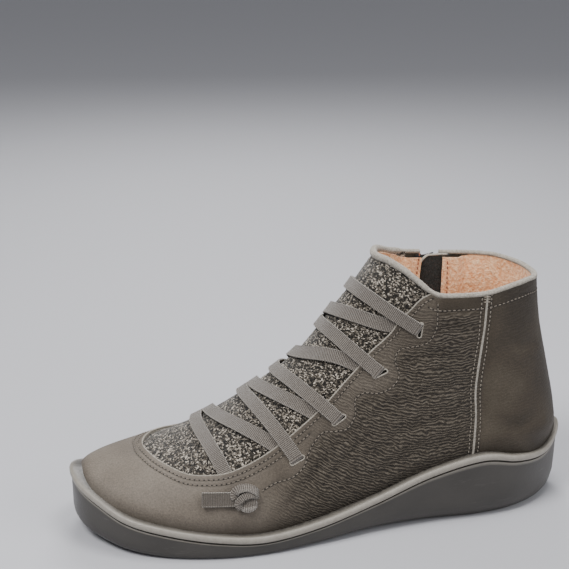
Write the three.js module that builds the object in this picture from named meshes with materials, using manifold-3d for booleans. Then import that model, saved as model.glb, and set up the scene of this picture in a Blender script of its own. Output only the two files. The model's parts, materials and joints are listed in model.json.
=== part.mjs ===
// A left ankle boot with a flat elastic lace over the instep and a zip on the inner side.
// Millimetres. X runs to the toe, Y to the outer side of the foot, Z up. The origin is the middle of the
// sole's box, on the floor.
import * as THREE from "three";
import Module from "manifold-3d";

const wasm = await Module();
wasm.setup();

// Sizes of the boot
const soleLength = 264;
const ballWidth = 99;
const collarHeight = 126;
const heelHeight = 21;
const ballThickness = 6.5;

// Sizes of the pieces
const wall = 1.8;
const panelThickness = 1.4;
const panelMargin = 7;
const insoleThickness = 4;
const bindingRadius = 1.7;
const bindingDepth = 1.6;
const seamWidth = 2.4;
const seamHeight = 0.9;
const gap = 0.3;

// Sizes of the sole's side
const beadHeight = 3.6;
const beadStep = 0.8;
const sideGrooveHeight = 1.4;
const sideGrooveDepth = 0.9;
const lipReach = 7;
const treadWidth = 3;
const treadDepth = 1.2;

// Sizes of the lace
const laceWidth = 7;
const laceThickness = 1.3;
const laceGap = 0.75;
const lacePress = 0.3;
const slotLength = 8;
const slotWidth = 2.2;
const knotHoleWidth = 4;
const knotLength = 13;
const knotWidth = 10;
const knotHeight = 5.5;
const tabLength = 19;

// Sizes of the zip
const zipOpeningTop = 9;
const zipOpeningBottom = 12;
const tapeReach = 4;
const tapeThickness = 0.8;
const chainWidth = 5.6;
const chainThickness = 1.4;
const guardWidth = 20;
const guardThickness = 1.5;
const guardCorner = 0.85;
const sliderLength = 9;
const sliderWidth = 7.8;
const sliderDrop = 11;
const plateThickness = 1;
const bridgeLength = 6.4;
const bridgeWidth = 1.6;
const bridgeClear = 1.9;
const tabPin = 0.55;
const pullLength = 24;
const pullWidth = 7.4;
const railWidth = 1.3;

// How finely the forms are cut
const ringAngles = 26;
const tipStation = 0.35;
const tipStep = 0.45;
const tipEnd = 3;
const bodyStep = 0.85;
const soleSteps = 2;
const throatCells = 10;
const laceSteps = 10;
const zipSteps = 8;
const bindingSteps = 32;
const bindingSides = 8;

// How far the cutting bodies reach below and above the skin
const cutDepth = 8;
const cutHeight = 6;

// Angles of the knots' cut ends, from the way to the collar
const toeTabTurn = Math.PI;
const collarTabTurn = 2.84;

const table = (names, rows) =>
  rows.map((row) => Object.fromEntries(names.split(" ").map((name, i) => [name, row[i]])));

// Sections of the last, from the tip of the toe over the instep and up the shaft. Each one is a ring from a
// top point on the ridge to a low point under the foot or behind the heel. topX and lowX are shares of
// soleLength, topZ and lowZ of collarHeight, lateral, medial and ridge of ballWidth. level is the height
// of the widest place, and crown and seat are the roundness above and below it.
const lastSections = table("topX topZ lowX lowZ lateral medial ridge level crown seat", [
  [0.483, 0.19, 0.483, 0.19, -0.051, -0.051, -0.051, 0.5, 2.1, 2.1],
  [0.48, 0.246, 0.48, 0.119, 0.071, -0.172, -0.051, 0.48, 2.1, 2.2],
  [0.466, 0.278, 0.466, 0.071, 0.162, -0.242, -0.061, 0.45, 2.1, 2.4],
  [0.439, 0.295, 0.439, 0.048, 0.242, -0.313, -0.071, 0.42, 2.1, 2.5],
  [0.402, 0.311, 0.402, 0.032, 0.313, -0.374, -0.071, 0.4, 2.1, 2.6],
  [0.348, 0.336, 0.348, 0.016, 0.384, -0.429, -0.061, 0.36, 2.1, 2.8],
  [0.288, 0.377, 0.284, 0.008, 0.434, -0.455, -0.051, 0.31, 2.05, 3],
  [0.227, 0.44, 0.212, 0, 0.455, -0.449, -0.04, 0.27, 2, 3],
  [0.167, 0.52, 0.136, 0, 0.449, -0.414, -0.03, 0.23, 2, 3],
  [0.11, 0.607, 0.053, 0.016, 0.419, -0.364, -0.02, 0.22, 2, 3],
  [0.057, 0.698, -0.045, 0.048, 0.379, -0.328, -0.01, 0.24, 2, 3],
  [0.015, 0.802, -0.159, 0.087, 0.348, -0.313, 0, 0.27, 2.1, 2.8],
  [-0.009, 0.865, -0.288, 0.103, 0.333, -0.318, 0, 0.3, 2.2, 2.5],
  [-0.027, 0.913, -0.409, 0.111, 0.328, -0.318, 0, 0.34, 2.3, 2.4],
  [-0.044, 0.952, -0.481, 0.214, 0.323, -0.318, 0, 0.38, 2.35, 2.4],
  [-0.063, 1.004, -0.477, 0.397, 0.323, -0.318, 0, 0.44, 2.3, 2.3],
  [-0.081, 1.056, -0.455, 0.603, 0.321, -0.318, 0, 0.47, 2.2, 2.3],
  [-0.102, 1.111, -0.434, 0.794, 0.318, -0.313, 0, 0.49, 2.15, 2.3],
  [-0.121, 1.167, -0.422, 1, 0.318, -0.313, 0, 0.5, 2.1, 2.3],
  [-0.138, 1.214, -0.419, 1.19, 0.318, -0.313, 0, 0.5, 2.1, 2.3],
]);

// Sections of the sole from toe to heel. x is a share of soleLength, lateral and medial of ballWidth, and the
// rest of heelHeight: the height of the rim, how far the bottom is drawn in, and how far it is off the floor.
const soleSections = table("x lateral medial rimLateral rimMedial tuck liftLateral liftMedial", [
  [0.5, -0.051, -0.051, 1.57, 1.57, 0.17, 0.29, 0.29],
  [0.4905, 0.081, -0.167, 1.48, 1.48, 0.17, 0.25, 0.25],
  [0.462, 0.202, -0.268, 1.29, 1.29, 0.17, 0.17, 0.17],
  [0.409, 0.343, -0.399, 1, 1, 0.19, 0.07, 0.07],
  [0.333, 0.439, -0.48, 0.81, 0.82, 0.19, 0, 0],
  [0.242, 0.492, -0.5, 0.63, 0.66, 0.19, 0, 0],
  [0.152, 0.497, -0.465, 0.53, 0.58, 0.21, 0, 0],
  [0.045, 0.459, -0.394, 0.67, 0.79, 0.26, 0.03, 0.06],
  [-0.068, 0.404, -0.341, 1, 1.14, 0.31, 0.07, 0.14],
  [-0.182, 0.374, -0.327, 1.48, 1.45, 0.33, 0.04, 0.08],
  [-0.288, 0.368, -0.346, 1.76, 1.56, 0.33, 0, 0],
  [-0.367, 0.331, -0.328, 1.58, 1.53, 0.33, 0, 0],
  [-0.432, 0.24, -0.24, 1.47, 1.47, 0.31, 0, 0],
  [-0.477, 0.126, -0.126, 1.6, 1.6, 0.29, 0.03, 0.03],
  [-0.5, 0, 0, 1.79, 1.79, 0.29, 0.06, 0.06],
]);

// The bed inside the sole: rise 0 is the thickness under the ball and rise 1 is the height under the heel
const bedSections = table("x rise", [
  [0.56, 0.56],
  [0.492, 0.517],
  [0.38, 0.207],
  [0.23, 0],
  [0.15, 0],
  [0.038, 0.172],
  [-0.076, 0.517],
  [-0.19, 0.862],
  [-0.3, 1],
  [-0.56, 1],
]);

// The cut edge round the collar, as heights on the outer and the inner side in shares of collarHeight
const collarSections = table("x lateral medial", [
  [0.02, 1.087, 1.087],
  [-0.076, 1.087, 1.087],
  [-0.105, 1.086, 1.086],
  [-0.129, 1.058, 1.06],
  [-0.148, 1.026, 1.04],
  [-0.167, 0.992, 1.031],
  [-0.193, 0.963, 1.023],
  [-0.227, 0.963, 1.013],
  [-0.284, 0.964, 1],
  [-0.341, 0.987, 0.996],
  [-0.38, 0.994, 0.994],
  [-0.428, 0.979, 0.979],
  [-0.56, 0.975, 0.975],
]);

// The edge of the leather beside the lace, as sections of the last, and shares of the half girth from the
// ridge to the outer and to the inner side
const throatEdge = table("t lateral medial", [
  [4.82, 0.015, 0.015],
  [4.91, 0.075, 0.075],
  [5.24, 0.185, 0.185],
  [5.88, 0.284, 0.284],
  [6.57, 0.323, 0.323],
  [7.28, 0.337, 0.337],
  [8.5, 0.322, 0.322],
  [9.63, 0.293, 0.293],
  [11.5, 0.241, 0.241],
  [12.62, 0.209, 0.209],
  [14.25, 0.204, 0.204],
  [15.12, 0.231, 0.22],
  [16.03, 0.271, 0.24],
  [16.7, 0.325, 0.26],
  [17.8, 0.4, 0.28],
  [19, 0.42, 0.28],
]);

// The lace holes of either side from toe to collar. The lace is knotted outside the first one on the outer
// side and the last one on the inner side.
const laceHoles = table("t share", [
  [7.36, 0.44],
  [9.0, 0.403],
  [10.3, 0.358],
  [12.0, 0.294],
  [14.7, 0.279],
]);

// The bars of the lace. Each runs from the outer side over the ridge to the inner side, and an end either
// lies over the leather at a hole, or goes in under the edge of the leather, where the hole is given as null.
// There the bar that comes out of the next hole lies over it.
const laceBars = table("lateralT lateralHole ridgeT medialT medialHole", [
  [7.05, null, 6.6, 7.1, null],
  [8.62, null, 7.15, 7.36, 0],
  [9.0, 1, 8.15, 8.7, null],
  [9.85, null, 8.55, 9.0, 1],
  [10.3, 2, 9.25, 10.05, null],
  [11.6, null, 10.0, 10.3, 2],
  [12.0, 3, 11.2, 11.7, null],
  [14.2, null, 12.2, 12.0, 3],
  [14.7, 4, 14.4, 14.2, null],
]);

// The raised seam behind the ankle on the outer side, as shares from rim to collar
const rearSeam = table("rise x", [
  [0, -0.27],
  [0.25, -0.272],
  [0.5, -0.271],
  [0.75, -0.28],
  [1, -0.286],
]);

// The raised seam from the lace down to the sole on the inner side
const sideSeam = table("x z", [
  [0.044, 0.463],
  [0.03, 0.433],
  [-0.019, 0.377],
  [-0.091, 0.321],
  [-0.144, 0.282],
  [-0.172, 0.266],
]);

// The middle of the zip, as shares from rim to collar
const zipLine = table("rise x", [
  [0, -0.22],
  [0.35, -0.232],
  [0.7, -0.243],
  [1, -0.246],
]);

const treadPlaces = [0.3, 0.25, 0.2, -0.3, -0.35];

const lerp = THREE.MathUtils.lerp;
const point = (x, y, z) => new THREE.Vector3(x, y, z);
const count = (n) => Array.from({ length: n }, (_, i) => i);

// A smooth value between the rows of a table
function column(rows, key, at) {
  const i = Math.max(0, Math.min(Math.floor(at), rows.length - 2));
  const f = at - i;
  const near = (k) => rows[Math.max(0, Math.min(rows.length - 1, k))][key];
  const [a, b, c, d] = [near(i - 1), near(i), near(i + 1), near(i + 2)];
  const bend = 2 * a - 5 * b + 4 * c - d;
  const twist = 3 * b - 3 * c + d - a;
  return 0.5 * (2 * b + (c - a) * f + bend * f * f + twist * f * f * f);
}

// A value at a place along a table that is sorted by another column
function lookup(rows, by, place, key) {
  const rising = rows[rows.length - 1][by] > rows[0][by];
  const isPast = (row) => (rising ? row[by] >= place : row[by] <= place);
  const past = rows.findIndex(isPast);
  const next = past < 0 ? rows.length - 1 : Math.max(1, past);
  const [a, b] = [rows[next - 1], rows[next]];
  return lerp(a[key], b[key], THREE.MathUtils.clamp((place - a[by]) / (b[by] - a[by]), 0, 1));
}

// A closed body from its points and faces, turned so that the faces point out
function body(points, faces) {
  const make = (triangles) =>
    new wasm.Manifold(
      new wasm.Mesh({
        numProp: 3,
        vertProperties: new Float32Array(points.flatMap((p) => p.toArray())),
        triVerts: new Uint32Array(triangles.flat()),
      }),
    );
  const made = make(faces);
  return made.volume() > 0 ? made : make(faces.map(([a, b, c]) => [a, c, b]));
}

// A closed body through rings of equally many points. The ends are closed by rungs across the ring.
function stack(rings) {
  const n = rings[0].length;
  const faces = [];
  for (let r = 0; r < rings.length - 1; r++) {
    for (let i = 0; i < n; i++) {
      const [a, b] = [r * n + i, r * n + ((i + 1) % n)];
      faces.push([a, b, b + n], [a, b + n, a + n]);
    }
  }
  const end = (rings.length - 1) * n;
  for (let i = 0; i < n / 2; i++) {
    const [a, b, c, d] = [i, i + 1, (n - i) % n, n - i - 1];
    if (b !== d) faces.push([a, d, b], [end + a, end + b, end + d]);
    if (a !== c) faces.push([a, c, d], [end + a, end + d, end + c]);
  }
  return body(rings.flat(), faces);
}

const join = (bodies) => bodies.reduce((whole, next) => whole.add(next));

// A point of the last: angle 0 is the ridge, a quarter turn is the outer side
function lastPoint(t, angle) {
  const at = (key) => column(lastSections, key, t);
  const [c, s] = [Math.cos(angle), Math.sin(angle)];
  const power = 2 / at(c > 0 ? "crown" : "seat");
  const reach = c > 0 ? 1 - at("level") : at("level");
  const rise = at("level") + reach * Math.sign(c) * Math.abs(c) ** power;
  return point(
    lerp(at("lowX"), at("topX"), rise) * soleLength,
    lerp(at("ridge"), at(s > 0 ? "lateral" : "medial"), Math.abs(s) ** power) * ballWidth,
    lerp(at("lowZ"), at("topZ"), rise) * collarHeight,
  );
}

const lastRow = lastSections.length - 1;
const probe = 0.02;

function lastNormal(t, angle) {
  const forward = Math.min(lastRow, t + probe);
  const back = Math.max(0, t - probe);
  const along = lastPoint(forward, angle).sub(lastPoint(back, angle));
  const across = lastPoint(t, angle + probe).sub(lastPoint(t, angle - probe));
  return across.cross(along).normalize();
}

// The last grown by an offset, or shrunk where it is negative. All are cut at the same places, so that
// their faces run side by side.
function lastBody(offset) {
  const stations = [];
  for (let t = tipStation; t < lastRow; t += t < tipEnd ? tipStep : bodyStep) stations.push(t);
  stations.push(lastRow);
  return stack(
    stations.map((t) =>
      count(ringAngles).map((i) => {
        const angle = (i / ringAngles) * 2 * Math.PI;
        return lastPoint(t, angle).addScaledVector(lastNormal(t, angle), offset);
      }),
    ),
  );
}

// The angle that lies a share of the half girth away from the ridge, outwards where it is positive
function angleAt(t, share) {
  const steps = 60;
  const side = share < 0 ? -1 : 1;
  const lengths = [0];
  for (let i = 1; i <= steps; i++) {
    const [a, b] = [i - 1, i].map((k) => lastPoint(t, (side * Math.PI * k) / steps));
    lengths.push(lengths[i - 1] + a.distanceTo(b));
  }
  const wanted = Math.abs(share) * lengths[steps];
  const i = Math.max(1, lengths.findIndex((length) => length >= wanted));
  const f = (wanted - lengths[i - 1]) / (lengths[i] - lengths[i - 1]);
  return (side * Math.PI * (i - 1 + f)) / steps;
}

const halfGirth = (t, side) =>
  count(60).reduce((sum, i) => {
    const [a, b] = [i, i + 1].map((k) => lastPoint(t, (side * Math.PI * k) / 60));
    return sum + a.distanceTo(b);
  }, 0);

// The length along the ridge from one section of the last to the next
const sectionLength = (t) =>
  lastPoint(t + probe, 0).distanceTo(lastPoint(t - probe, 0)) / (2 * probe);

// The place on the outer (side 1) or inner (side -1) face that is seen at x and z from the side
function placeAt(x, z, side) {
  const ends = (t) => {
    const at = (key, size) => column(lastSections, key, t) * size;
    const low = new THREE.Vector2(at("lowX", soleLength), at("lowZ", collarHeight));
    const top = new THREE.Vector2(at("topX", soleLength), at("topZ", collarHeight));
    return { low, ray: top.sub(low) };
  };
  let [a, b] = [tipStation, lastRow];
  for (let i = 0; i < 40; i++) {
    const t = (a + b) / 2;
    const { low, ray } = ends(t);
    if (ray.x * (z - low.y) > ray.y * (x - low.x)) a = t;
    else b = t;
  }
  const { low, ray } = ends(a);
  const rise = ((x - low.x) * ray.x + (z - low.y) * ray.y) / ray.lengthSq();
  const level = column(lastSections, "level", a);
  const isAbove = rise > level;
  const power = 2 / column(lastSections, isAbove ? "crown" : "seat", a);
  const reach = isAbove ? (rise - level) / (1 - level) : (level - rise) / level;
  const cosine = THREE.MathUtils.clamp(reach, 0, 1) ** (1 / power) * (isAbove ? 1 : -1);
  return { t: a, angle: side * Math.acos(cosine) };
}

// Frames along a smooth line on the last through places that are given as t and angle
function trace(places, steps) {
  const frames = count(steps + 1).map((k) => {
    const at = (k / steps) * (places.length - 1);
    const [t, angle] = [column(places, "t", at), column(places, "angle", at)];
    return { point: lastPoint(t, angle), normal: lastNormal(t, angle) };
  });
  frames.forEach((frame, k) => {
    const next = frames[Math.min(k + 1, steps)].point;
    const along = next.clone().sub(frames[Math.max(k - 1, 0)].point);
    frame.along = along.addScaledVector(frame.normal, -along.dot(frame.normal)).normalize();
    frame.across = frame.normal.clone().cross(frame.along);
  });
  return frames;
}

// The frame at one place of the last, with its length running towards the collar
function spot(t, share) {
  const places = [t - probe, t, t + probe].map((s) => ({ t: s, angle: angleAt(s, share) }));
  return trace(places, 2)[1];
}

const from = (frame, along, across, height) =>
  frame.point
    .clone()
    .addScaledVector(frame.along, along)
    .addScaledVector(frame.across, across)
    .addScaledVector(frame.normal, height);

// A strip along frames, whose section lists its corners as across and height
const strip = (frames, section) =>
  stack(
    frames.map((frame, k) =>
      section(k / (frames.length - 1)).map(([across, height]) => from(frame, 0, across, height)),
    ),
  );

const flat = (left, right, bottom, top) => [
  [left, bottom],
  [right, bottom],
  [right, top],
  [left, top],
];

// A block in the frame of one place, from its two corners along, across and up
function block(frame, [a0, b0, h0], [a1, b1, h1]) {
  const ring = (a) => flat(b0, b1, h0, h1).map(([b, h]) => from(frame, a, b, h));
  return stack([ring(a0), ring(a1)]);
}

// Blocks that are larger than the boot, below the sole's bed and above the collar
const beyond = 2 * ballWidth;

function belowBed(drop) {
  return stack(
    bedSections.map((row) => {
      const x = row.x * soleLength;
      const z = lerp(ballThickness, heelHeight, row.rise) - drop;
      return flat(-beyond, beyond, -beyond, z).map(([y, h]) => point(x, y, h));
    }),
  );
}

const collarLine = (x, side) =>
  lookup(collarSections, "x", x / soleLength, side > 0 ? "lateral" : "medial") * collarHeight;

function aboveCollar() {
  const turn = bindingRadius * 3;
  return stack(
    collarSections.map((row) => {
      const x = row.x * soleLength;
      const [lateral, medial] = [row.lateral * collarHeight, row.medial * collarHeight];
      return [
        point(x, -beyond, medial),
        point(x, -turn, medial),
        point(x, turn, lateral),
        point(x, beyond, lateral),
        point(x, beyond, collarHeight + beyond),
        point(x, -beyond, collarHeight + beyond),
      ];
    }),
  );
}

// The opening over the instep, grown by a margin along the surface, through the wall and beyond
function throat(margin) {
  const stations = count(2 * throatEdge.length - 1).map((k) => k / 2);
  const toeStep = margin / sectionLength(throatEdge[0].t);
  return stack(
    stations.map((k) => {
      const t = Math.min(lastRow - probe, column(throatEdge, "t", k) - (k === 0 ? toeStep : 0));
      const angles = [-1, 1].map((side) => {
        const edge = column(throatEdge, side > 0 ? "lateral" : "medial", k);
        const share = edge + margin / halfGirth(t, side);
        return angleAt(t, side * Math.max(0.01, share));
      });
      const row = (offset) =>
        count(throatCells + 1).map((i) => {
          const angle = lerp(angles[0], angles[1], i / throatCells);
          return lastPoint(t, angle).addScaledVector(lastNormal(t, angle), offset);
        });
      return [...row(cutHeight), ...row(-cutDepth).reverse()];
    }),
  );
}

// The stations round the sole: from the toe along the outer side to the heel and back along the inner side
const soleRows = [
  ...soleSections.map((s) => {
    return { x: s.x, y: s.lateral, rim: s.rimLateral, lift: s.liftLateral, tuck: s.tuck };
  }),
  ...soleSections
    .slice(1, -1)
    .reverse()
    .map((s) => ({ x: s.x, y: s.medial, rim: s.rimMedial, lift: s.liftMedial, tuck: s.tuck })),
];

function soleStations() {
  const n = soleRows.length;
  const wrapped = [soleRows[n - 1], ...soleRows, soleRows[0], soleRows[1]];
  const at = (key, k) => column(wrapped, key, 1 + k / soleSteps);
  const stations = count(n * soleSteps).map((k) => ({
    edge: new THREE.Vector2(at("x", k) * soleLength, at("y", k) * ballWidth),
    rim: at("rim", k) * heelHeight,
    floor: Math.max(0, at("lift", k) * heelHeight),
    tuck: at("tuck", k) * heelHeight,
  }));
  stations.forEach((station, k) => {
    const next = stations[(k + 1) % stations.length].edge;
    const last = stations[(k + stations.length - 1) % stations.length].edge;
    station.inward = new THREE.Vector2(last.y - next.y, next.x - last.x).normalize();
  });
  return stations;
}

const rimHeight = (x, side) =>
  lookup(soleSections, "x", x / soleLength, side > 0 ? "rimLateral" : "rimMedial") * heelHeight;

// The sole's side from the floor up: the tucked bottom edge, the wall, the groove, the bead and the lip.
// Each corner is its inset from the rim and its height.
function sideProfile({ rim, floor, tuck }) {
  const top = rim - beadHeight - sideGrooveHeight;
  return [
    [tuck, floor],
    [0.4 * tuck, lerp(floor, top, 0.16)],
    [0.1 * tuck + beadStep, lerp(floor, top, 0.5)],
    [beadStep, top],
    [beadStep + sideGrooveDepth, top + sideGrooveHeight / 2],
    [beadStep / 2, rim - beadHeight],
    [0, rim - beadHeight / 2],
    [beadStep, rim],
    [lipReach, rim],
  ];
}

function outsole() {
  const stations = soleStations();
  const profiles = stations.map(sideProfile);
  const rings = profiles[0].map((_, level) =>
    stations.map((station, k) => {
      const [inset, z] = profiles[k][level];
      const { x, y } = station.edge.clone().addScaledVector(station.inward, inset);
      return point(x, y, z);
    }),
  );
  const hollow = lastBody(gap).subtract(belowBed(gap));
  const grooves = treadPlaces.map((place) => {
    const x = place * soleLength;
    const ring = (y) =>
      flat(x - treadWidth / 2, x + treadWidth / 2, -beyond, treadDepth).map(([a, z]) => point(a, y, z));
    return stack([ring(-beyond), ring(beyond)]);
  });
  return stack(rings).subtract(hollow).subtract(join(grooves));
}

function insole() {
  return lastBody(-wall - gap).intersect(belowBed(-insoleThickness)).subtract(belowBed(0));
}

// A raised seam is a round-backed strip sunk halfway into the wall
function seam(places) {
  const half = seamWidth / 2;
  return strip(trace(places, 2 * places.length), () => [
    [-half, -wall / 2],
    [half, -wall / 2],
    [half, seamHeight / 3],
    [half / 2, seamHeight],
    [-half / 2, seamHeight],
    [-half, seamHeight / 3],
  ]);
}

// Places up a line on one side, given by its x at shares of the height from rim to collar. It stops short of
// the rim and the collar by the two clearances.
function placesUp(rows, side, aboveRim, belowEdge, steps) {
  const lineAt = (rise) => {
    const x = lookup(rows, "rise", rise, "x") * soleLength;
    return { x, rim: rimHeight(x, side), edge: collarLine(x, side) };
  };
  const { rim, edge } = lineAt(0.5);
  const [first, final] = [aboveRim / (edge - rim), 1 - belowEdge / (edge - rim)];
  return count(steps + 1).map((k) => {
    const rise = lerp(first, final, k / steps);
    const line = lineAt(rise);
    return placeAt(line.x, lerp(line.rim, line.edge, rise), side);
  });
}

function zipOpening() {
  const places = placesUp(zipLine, -1, -beadHeight, -beadHeight, zipSteps);
  return strip(trace(places, zipSteps), (rise) => {
    const half = lerp(zipOpeningBottom, zipOpeningTop, rise) / 2;
    return flat(-half, half, -2 * wall, 2 * wall);
  });
}

function laceHole({ t, share }, side) {
  const isKnotted = t === laceHoles[side > 0 ? 0 : laceHoles.length - 1].t;
  const [length, width] = isKnotted ? [knotHoleWidth, knotHoleWidth] : [slotLength, slotWidth];
  return block(
    spot(t, side * share),
    [-length / 2, -width / 2, -2 * wall],
    [length / 2, width / 2, 2 * wall],
  );
}

function upper() {
  const hollow = lastBody(0).subtract(lastBody(-wall));
  const openings = [
    throat(0),
    zipOpening(),
    belowBed(0),
    aboveCollar(),
    ...laceHoles.flatMap((hole) => [laceHole(hole, 1), laceHole(hole, -1)]),
  ];
  const clearance = seamHeight + gap;
  const rear = seam(placesUp(rearSeam, 1, clearance, clearance, zipSteps));
  const side = seam(sideSeam.map((row) => placeAt(row.x * soleLength, row.z * collarHeight, -1)));
  return openings.reduce((whole, opening) => whole.subtract(opening), hollow).add(rear).add(side);
}

function vampPanel() {
  const face = -wall - gap;
  return lastBody(face)
    .subtract(lastBody(face - panelThickness))
    .intersect(throat(panelMargin))
    .subtract(aboveCollar());
}

// The binding lies on the cut edge of the collar, from the back of the zip round the heel to its front
function collarBinding() {
  const lift = 1.12 * (bindingRadius + gap);
  const onEdge = (angle) => {
    let [low, high] = [lastRow / 2, lastRow];
    const at = (t) => lastPoint(t, angle).addScaledVector(lastNormal(t, angle), -bindingDepth);
    for (let i = 0; i < 30; i++) {
      const t = (low + high) / 2;
      const p = at(t);
      const side = THREE.MathUtils.clamp(p.y / bindingRadius / 3, -1, 1);
      const edge = lerp(collarLine(p.x, -1), collarLine(p.x, 1), (side + 1) / 2);
      if (p.z < edge + lift) low = t;
      else high = t;
    }
    return at(low);
  };
  const zipX = zipLine[zipLine.length - 1].x * soleLength;
  const open = zipOpeningTop / 2 + bindingRadius;
  const angleOf = (x) => {
    let [near, far] = [0.2, Math.PI - 0.2];
    for (let i = 0; i < 30; i++) {
      const angle = (near + far) / 2;
      if (onEdge(-angle).x > x) near = angle;
      else far = angle;
    }
    return near;
  };
  const [first, final] = [-angleOf(zipX + open), 2 * Math.PI - angleOf(zipX - open)];
  const path = count(bindingSteps + 1).map((k) => onEdge(lerp(first, final, k / bindingSteps)));
  return stack(
    path.map((p, k) => {
      const along = path[Math.min(k + 1, bindingSteps)].clone().sub(path[Math.max(k - 1, 0)]).normalize();
      const across = point(0, 0, 1).cross(along).normalize();
      const up = along.clone().cross(across);
      return count(bindingSides).map((i) => {
        const turn = ((i + 0.5) / bindingSides) * 2 * Math.PI;
        return p
          .clone()
          .addScaledVector(across, bindingRadius * Math.cos(turn))
          .addScaledVector(up, bindingRadius * Math.sin(turn));
      });
    }),
  );
}

// The bars of the lace in one piece. They lie on the panel at the ridge, and on the leather at a hole.
function laceCrossings() {
  const onPanel = -wall - gap + laceGap;
  const onLeather = laceGap;
  const underBar = onLeather - laceThickness + lacePress;
  const bars = laceBars.map((bar) => {
    const endAt = (t, hole, side) => {
      const edge = lookup(throatEdge, "t", t, side > 0 ? "lateral" : "medial");
      const share = hole === null ? edge : laceHoles[hole].share;
      return { t, angle: angleAt(t, side * share), height: hole === null ? underBar : onLeather };
    };
    const lateral = endAt(bar.lateralT, bar.lateralHole, 1);
    const medial = endAt(bar.medialT, bar.medialHole, -1);
    const ridge = { t: bar.ridgeT, angle: 0, height: onPanel };
    const frames = trace([lateral, ridge, medial], laceSteps);
    return strip(frames, (s) => {
      const end = s < 0.5 ? lateral : medial;
      const out = THREE.MathUtils.smoothstep(Math.abs(s - 0.5) * 2, 0.35, 0.8);
      const bottom = lerp(ridge.height, end.height, out);
      return flat(-laceWidth / 2, laceWidth / 2, bottom, bottom + laceThickness);
    });
  });
  const leather = lastBody(gap).subtract(throat(-gap));
  return join(bars).subtract(leather);
}

// A knot on the leather over its hole, with the cut end of the lace beside it
function laceKnot(hole, side, turn) {
  const frame = spot(hole.t, side * hole.share);
  const low = gap;
  const rings = [-1, -0.75, -0.3, 0.3, 0.75, 1].map((a) => {
    const round = Math.sqrt(Math.max(0.06, 1 - a * a));
    return count(10).map((i) => {
      const angle = (i / 10) * 2 * Math.PI;
      const across = (knotWidth / 2) * round * Math.cos(angle);
      const height = knotHeight / 2 + (knotHeight / 2) * round * Math.sin(angle);
      return from(frame, (a * knotLength) / 2, across, low + height);
    });
  });
  const [c, s] = [Math.cos(turn), Math.sin(turn)];
  const reach = knotLength / 2 + tabLength;
  const places = [0, 0.5, 1].map((f) => {
    const target = from(frame, c * reach * f, s * reach * f, 0);
    return placeAt(target.x, target.z, side);
  });
  const tab = strip(trace(places, 6), () =>
    flat(-laceWidth / 2, laceWidth / 2, low + laceGap, low + laceGap + laceThickness),
  );
  return stack(rings).add(tab).subtract(lastBody(gap));
}

// A layer of the lining side, as deep under the skin as its face, that follows a strip up the zip. The strip
// lists its two edges across at each share of its height.
function layerAtZip(face, thickness, edges) {
  const places = placesUp(zipLine, -1, -beadHeight, gap, zipSteps);
  const cutter = strip(trace(places, zipSteps), (rise) => {
    const [left, right] = edges(rise);
    return flat(left, right, 2 * face - thickness, 0);
  });
  return lastBody(face).subtract(lastBody(face - thickness)).intersect(cutter);
}

// The zip: two tapes behind the opening, the closed chain between them, and a guard behind the tapes
const tapeTop = -wall - gap;

function zipTape(side) {
  return layerAtZip(tapeTop, tapeThickness, (rise) => {
    const edge = lerp(zipOpeningBottom, zipOpeningTop, rise) / 2 + tapeReach;
    return [(side * gap) / 2, side * edge];
  });
}

function zipChain() {
  const bottom = tapeTop + gap;
  const places = placesUp(zipLine, -1, gap, 2 * gap, zipSteps);
  return strip(trace(places, zipSteps), () =>
    flat(-chainWidth / 2, chainWidth / 2, bottom, bottom + chainThickness),
  );
}

function zipGuard() {
  return layerAtZip(tapeTop - tapeThickness - gap, guardThickness, (rise) => {
    const pastCorner = Math.max(0, (rise - guardCorner) / (1 - guardCorner));
    const round = Math.sqrt(1 - 0.8 * pastCorner ** 2);
    return [(-guardWidth / 2) * round, (guardWidth / 2) * round];
  }).subtract(belowBed(-insoleThickness - gap));
}

// The slider clasps the chain near the collar. Its bridge carries the pull tab.
function sliderFrame() {
  return trace(placesUp(zipLine, -1, gap, sliderDrop, zipSteps), zipSteps)[zipSteps];
}

const plateBottom = tapeTop + 2 * gap + chainThickness;
const plateTop = plateBottom + plateThickness;
const pinHeight = plateTop + bridgeClear / 2;

function zipSlider() {
  const frame = sliderFrame();
  const [a, b] = [sliderLength / 2, sliderWidth / 2];
  const cheek = chainWidth / 2 + gap;
  const post = (bridgeLength - 2 * bridgeClear) / 2;
  const [end, half] = [bridgeLength / 2, bridgeWidth / 2];
  const top = plateTop + bridgeClear + plateThickness;
  return join([
    block(frame, [-a, -b, plateBottom], [a, b, plateTop]),
    block(frame, [-a, cheek, tapeTop + gap], [a, b, plateTop]),
    block(frame, [-a, -b, tapeTop + gap], [a, -cheek, plateTop]),
    block(frame, [-end, -half, plateTop - gap], [post - end, half, top]),
    block(frame, [end - post, -half, plateTop - gap], [end, half, top]),
    block(frame, [-end, -half, plateTop + bridgeClear], [end, half, top]),
  ]);
}

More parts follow.
